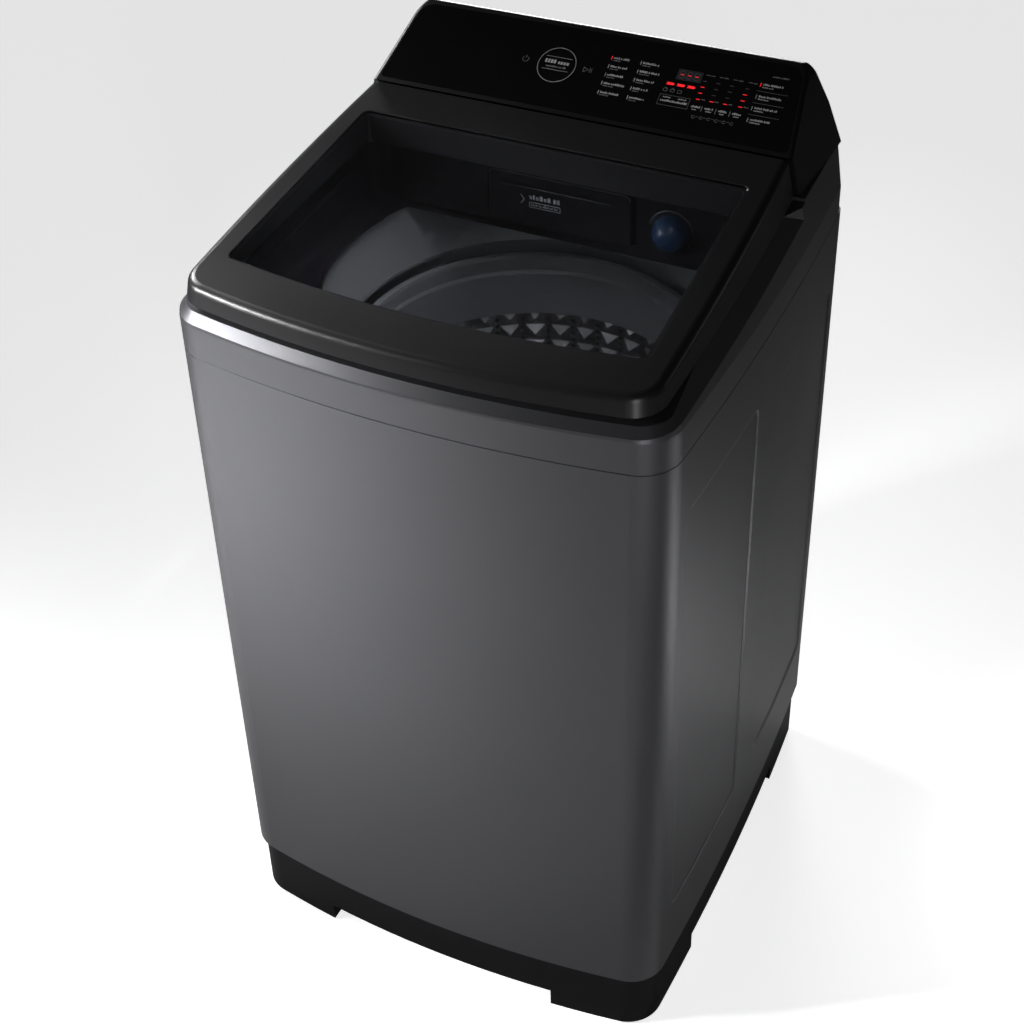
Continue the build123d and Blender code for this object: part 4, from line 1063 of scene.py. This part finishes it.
PULSATOR_TOP = 256.0
PULSATOR_EDGE_R = 128.0
PULSATOR_HUB_R = 46.0
PULSATOR_RISE = 6.0
PULSATOR_FIELDS = 6
PULSATOR_RINGS = ((64.0, 3), (80.0, 4), (96.0, 5), (112.0, 6))
PULSATOR_HOLE_STEP = 7.0
PULSATOR_HOLE_PROFILE = [(0, 0.05), (1.7, 0.05), (2.1, 0.3), (2.5, 0.1), (2.5, -0.6), (0, -0.6)]


def add_pulsator_holes():
    """Drain holes in the fields between the wings, drawn as dark discs of painted shade."""
    field_angle = 360 / PULSATOR_FIELDS
    places = []
    for radius, count in PULSATOR_RINGS:
        rise = PULSATOR_RISE * (PULSATOR_EDGE_R - radius) / (PULSATOR_EDGE_R - PULSATOR_HUB_R)
        for field in range(PULSATOR_FIELDS):
            for k in range(count):
                across = PULSATOR_HOLE_STEP * (k - (count - 1) / 2)
                angle = math.radians(field_angle * (field + 0.5) + across)
                places.append((about_axis(radius, angle, PULSATOR_TOP + rise), Vector((0, 0, 1))))
    shape = turned_shape(PULSATOR_HOLE_PROFILE, HOLE_SIDES)
    placed_copies("pulsator_holes", shape, places, FINISH["hole_painted_shade"], "pulsator")


# Back

INLET_PLACE = (150.0, 918.0)
INLET_R = 13.0
THREAD_START = 262.0
THREAD_TURNS = 5
THREAD_PITCH = 2.6
THREAD_DEPTH = 1.1
THREAD_STEPS = 24
THREAD_SECTION = [(-0.42, 0.0), (0.0, THREAD_DEPTH), (0.42, 0.0)]
REAR_Y = 280.0
SCREW_X = 227.0
SCREW_Z = (130.0, 350.0, 570.0, 760.0)
SCREW_TURN = 3.0
SCREW_PROFILE = [(0, -0.4), (4.6, -0.4), (4.6, 0.2), (3.4, 0.35), (3.1, 0.8), (2.4, 1.1), (1.5, 1.15),
                 (1.3, 0.3), (0, 0.2)]


def add_inlet_thread():
    """Helical ridge on the water inlet."""
    x, z = INLET_PLACE
    bm = bmesh.new()
    rings = []
    for k in range(THREAD_TURNS * THREAD_STEPS + 1):
        angle = 2 * math.pi * k / THREAD_STEPS
        y = THREAD_START + THREAD_PITCH * k / THREAD_STEPS
        ring = []
        for along, lift in THREAD_SECTION:
            radius = INLET_R + lift
            spot = (x + radius * math.cos(angle), y + THREAD_PITCH * along, z + radius * math.sin(angle))
            ring.append(bm.verts.new(Vector(spot) * MM))
        rings.append(ring)
    for here, there in zip(rings, rings[1:]):
        for n in range(len(THREAD_SECTION)):
            m = (n + 1) % len(THREAD_SECTION)
            bm.faces.new((here[n], here[m], there[m], there[n]))
    bm.faces.new(rings[0])
    bm.faces.new(rings[-1])
    bmesh.ops.recalc_face_normals(bm, faces=bm.faces)
    new_piece("inlet_thread", bm, FINISH["service_plastic"], "cabinet")


def add_rear_screws():
    """Flanged pan heads, each with a round socket, turned as they were left."""
    backwards = Vector((0, 1, 0))
    places = [(Vector((x, REAR_Y, z)) * MM, backwards) for x in (-SCREW_X, SCREW_X) for z in SCREW_Z]
    head = turned_shape(SCREW_PROFILE, 20)
    placed_copies("rear_screw_heads", head, places, FINISH["steel"], "cabinet", turn=SCREW_TURN)


dress_nodes()
add_console_prints()
add_key_prints()
add_drum_wall()
add_drum_holes()
add_window_bevel()
add_drawer_mark()
add_drawer_trim()
add_cap_hood()
add_well_lining()
add_pulsator_holes()
add_inlet_thread()
add_rear_screws()
add_floor()
add_studio()
add_camera()
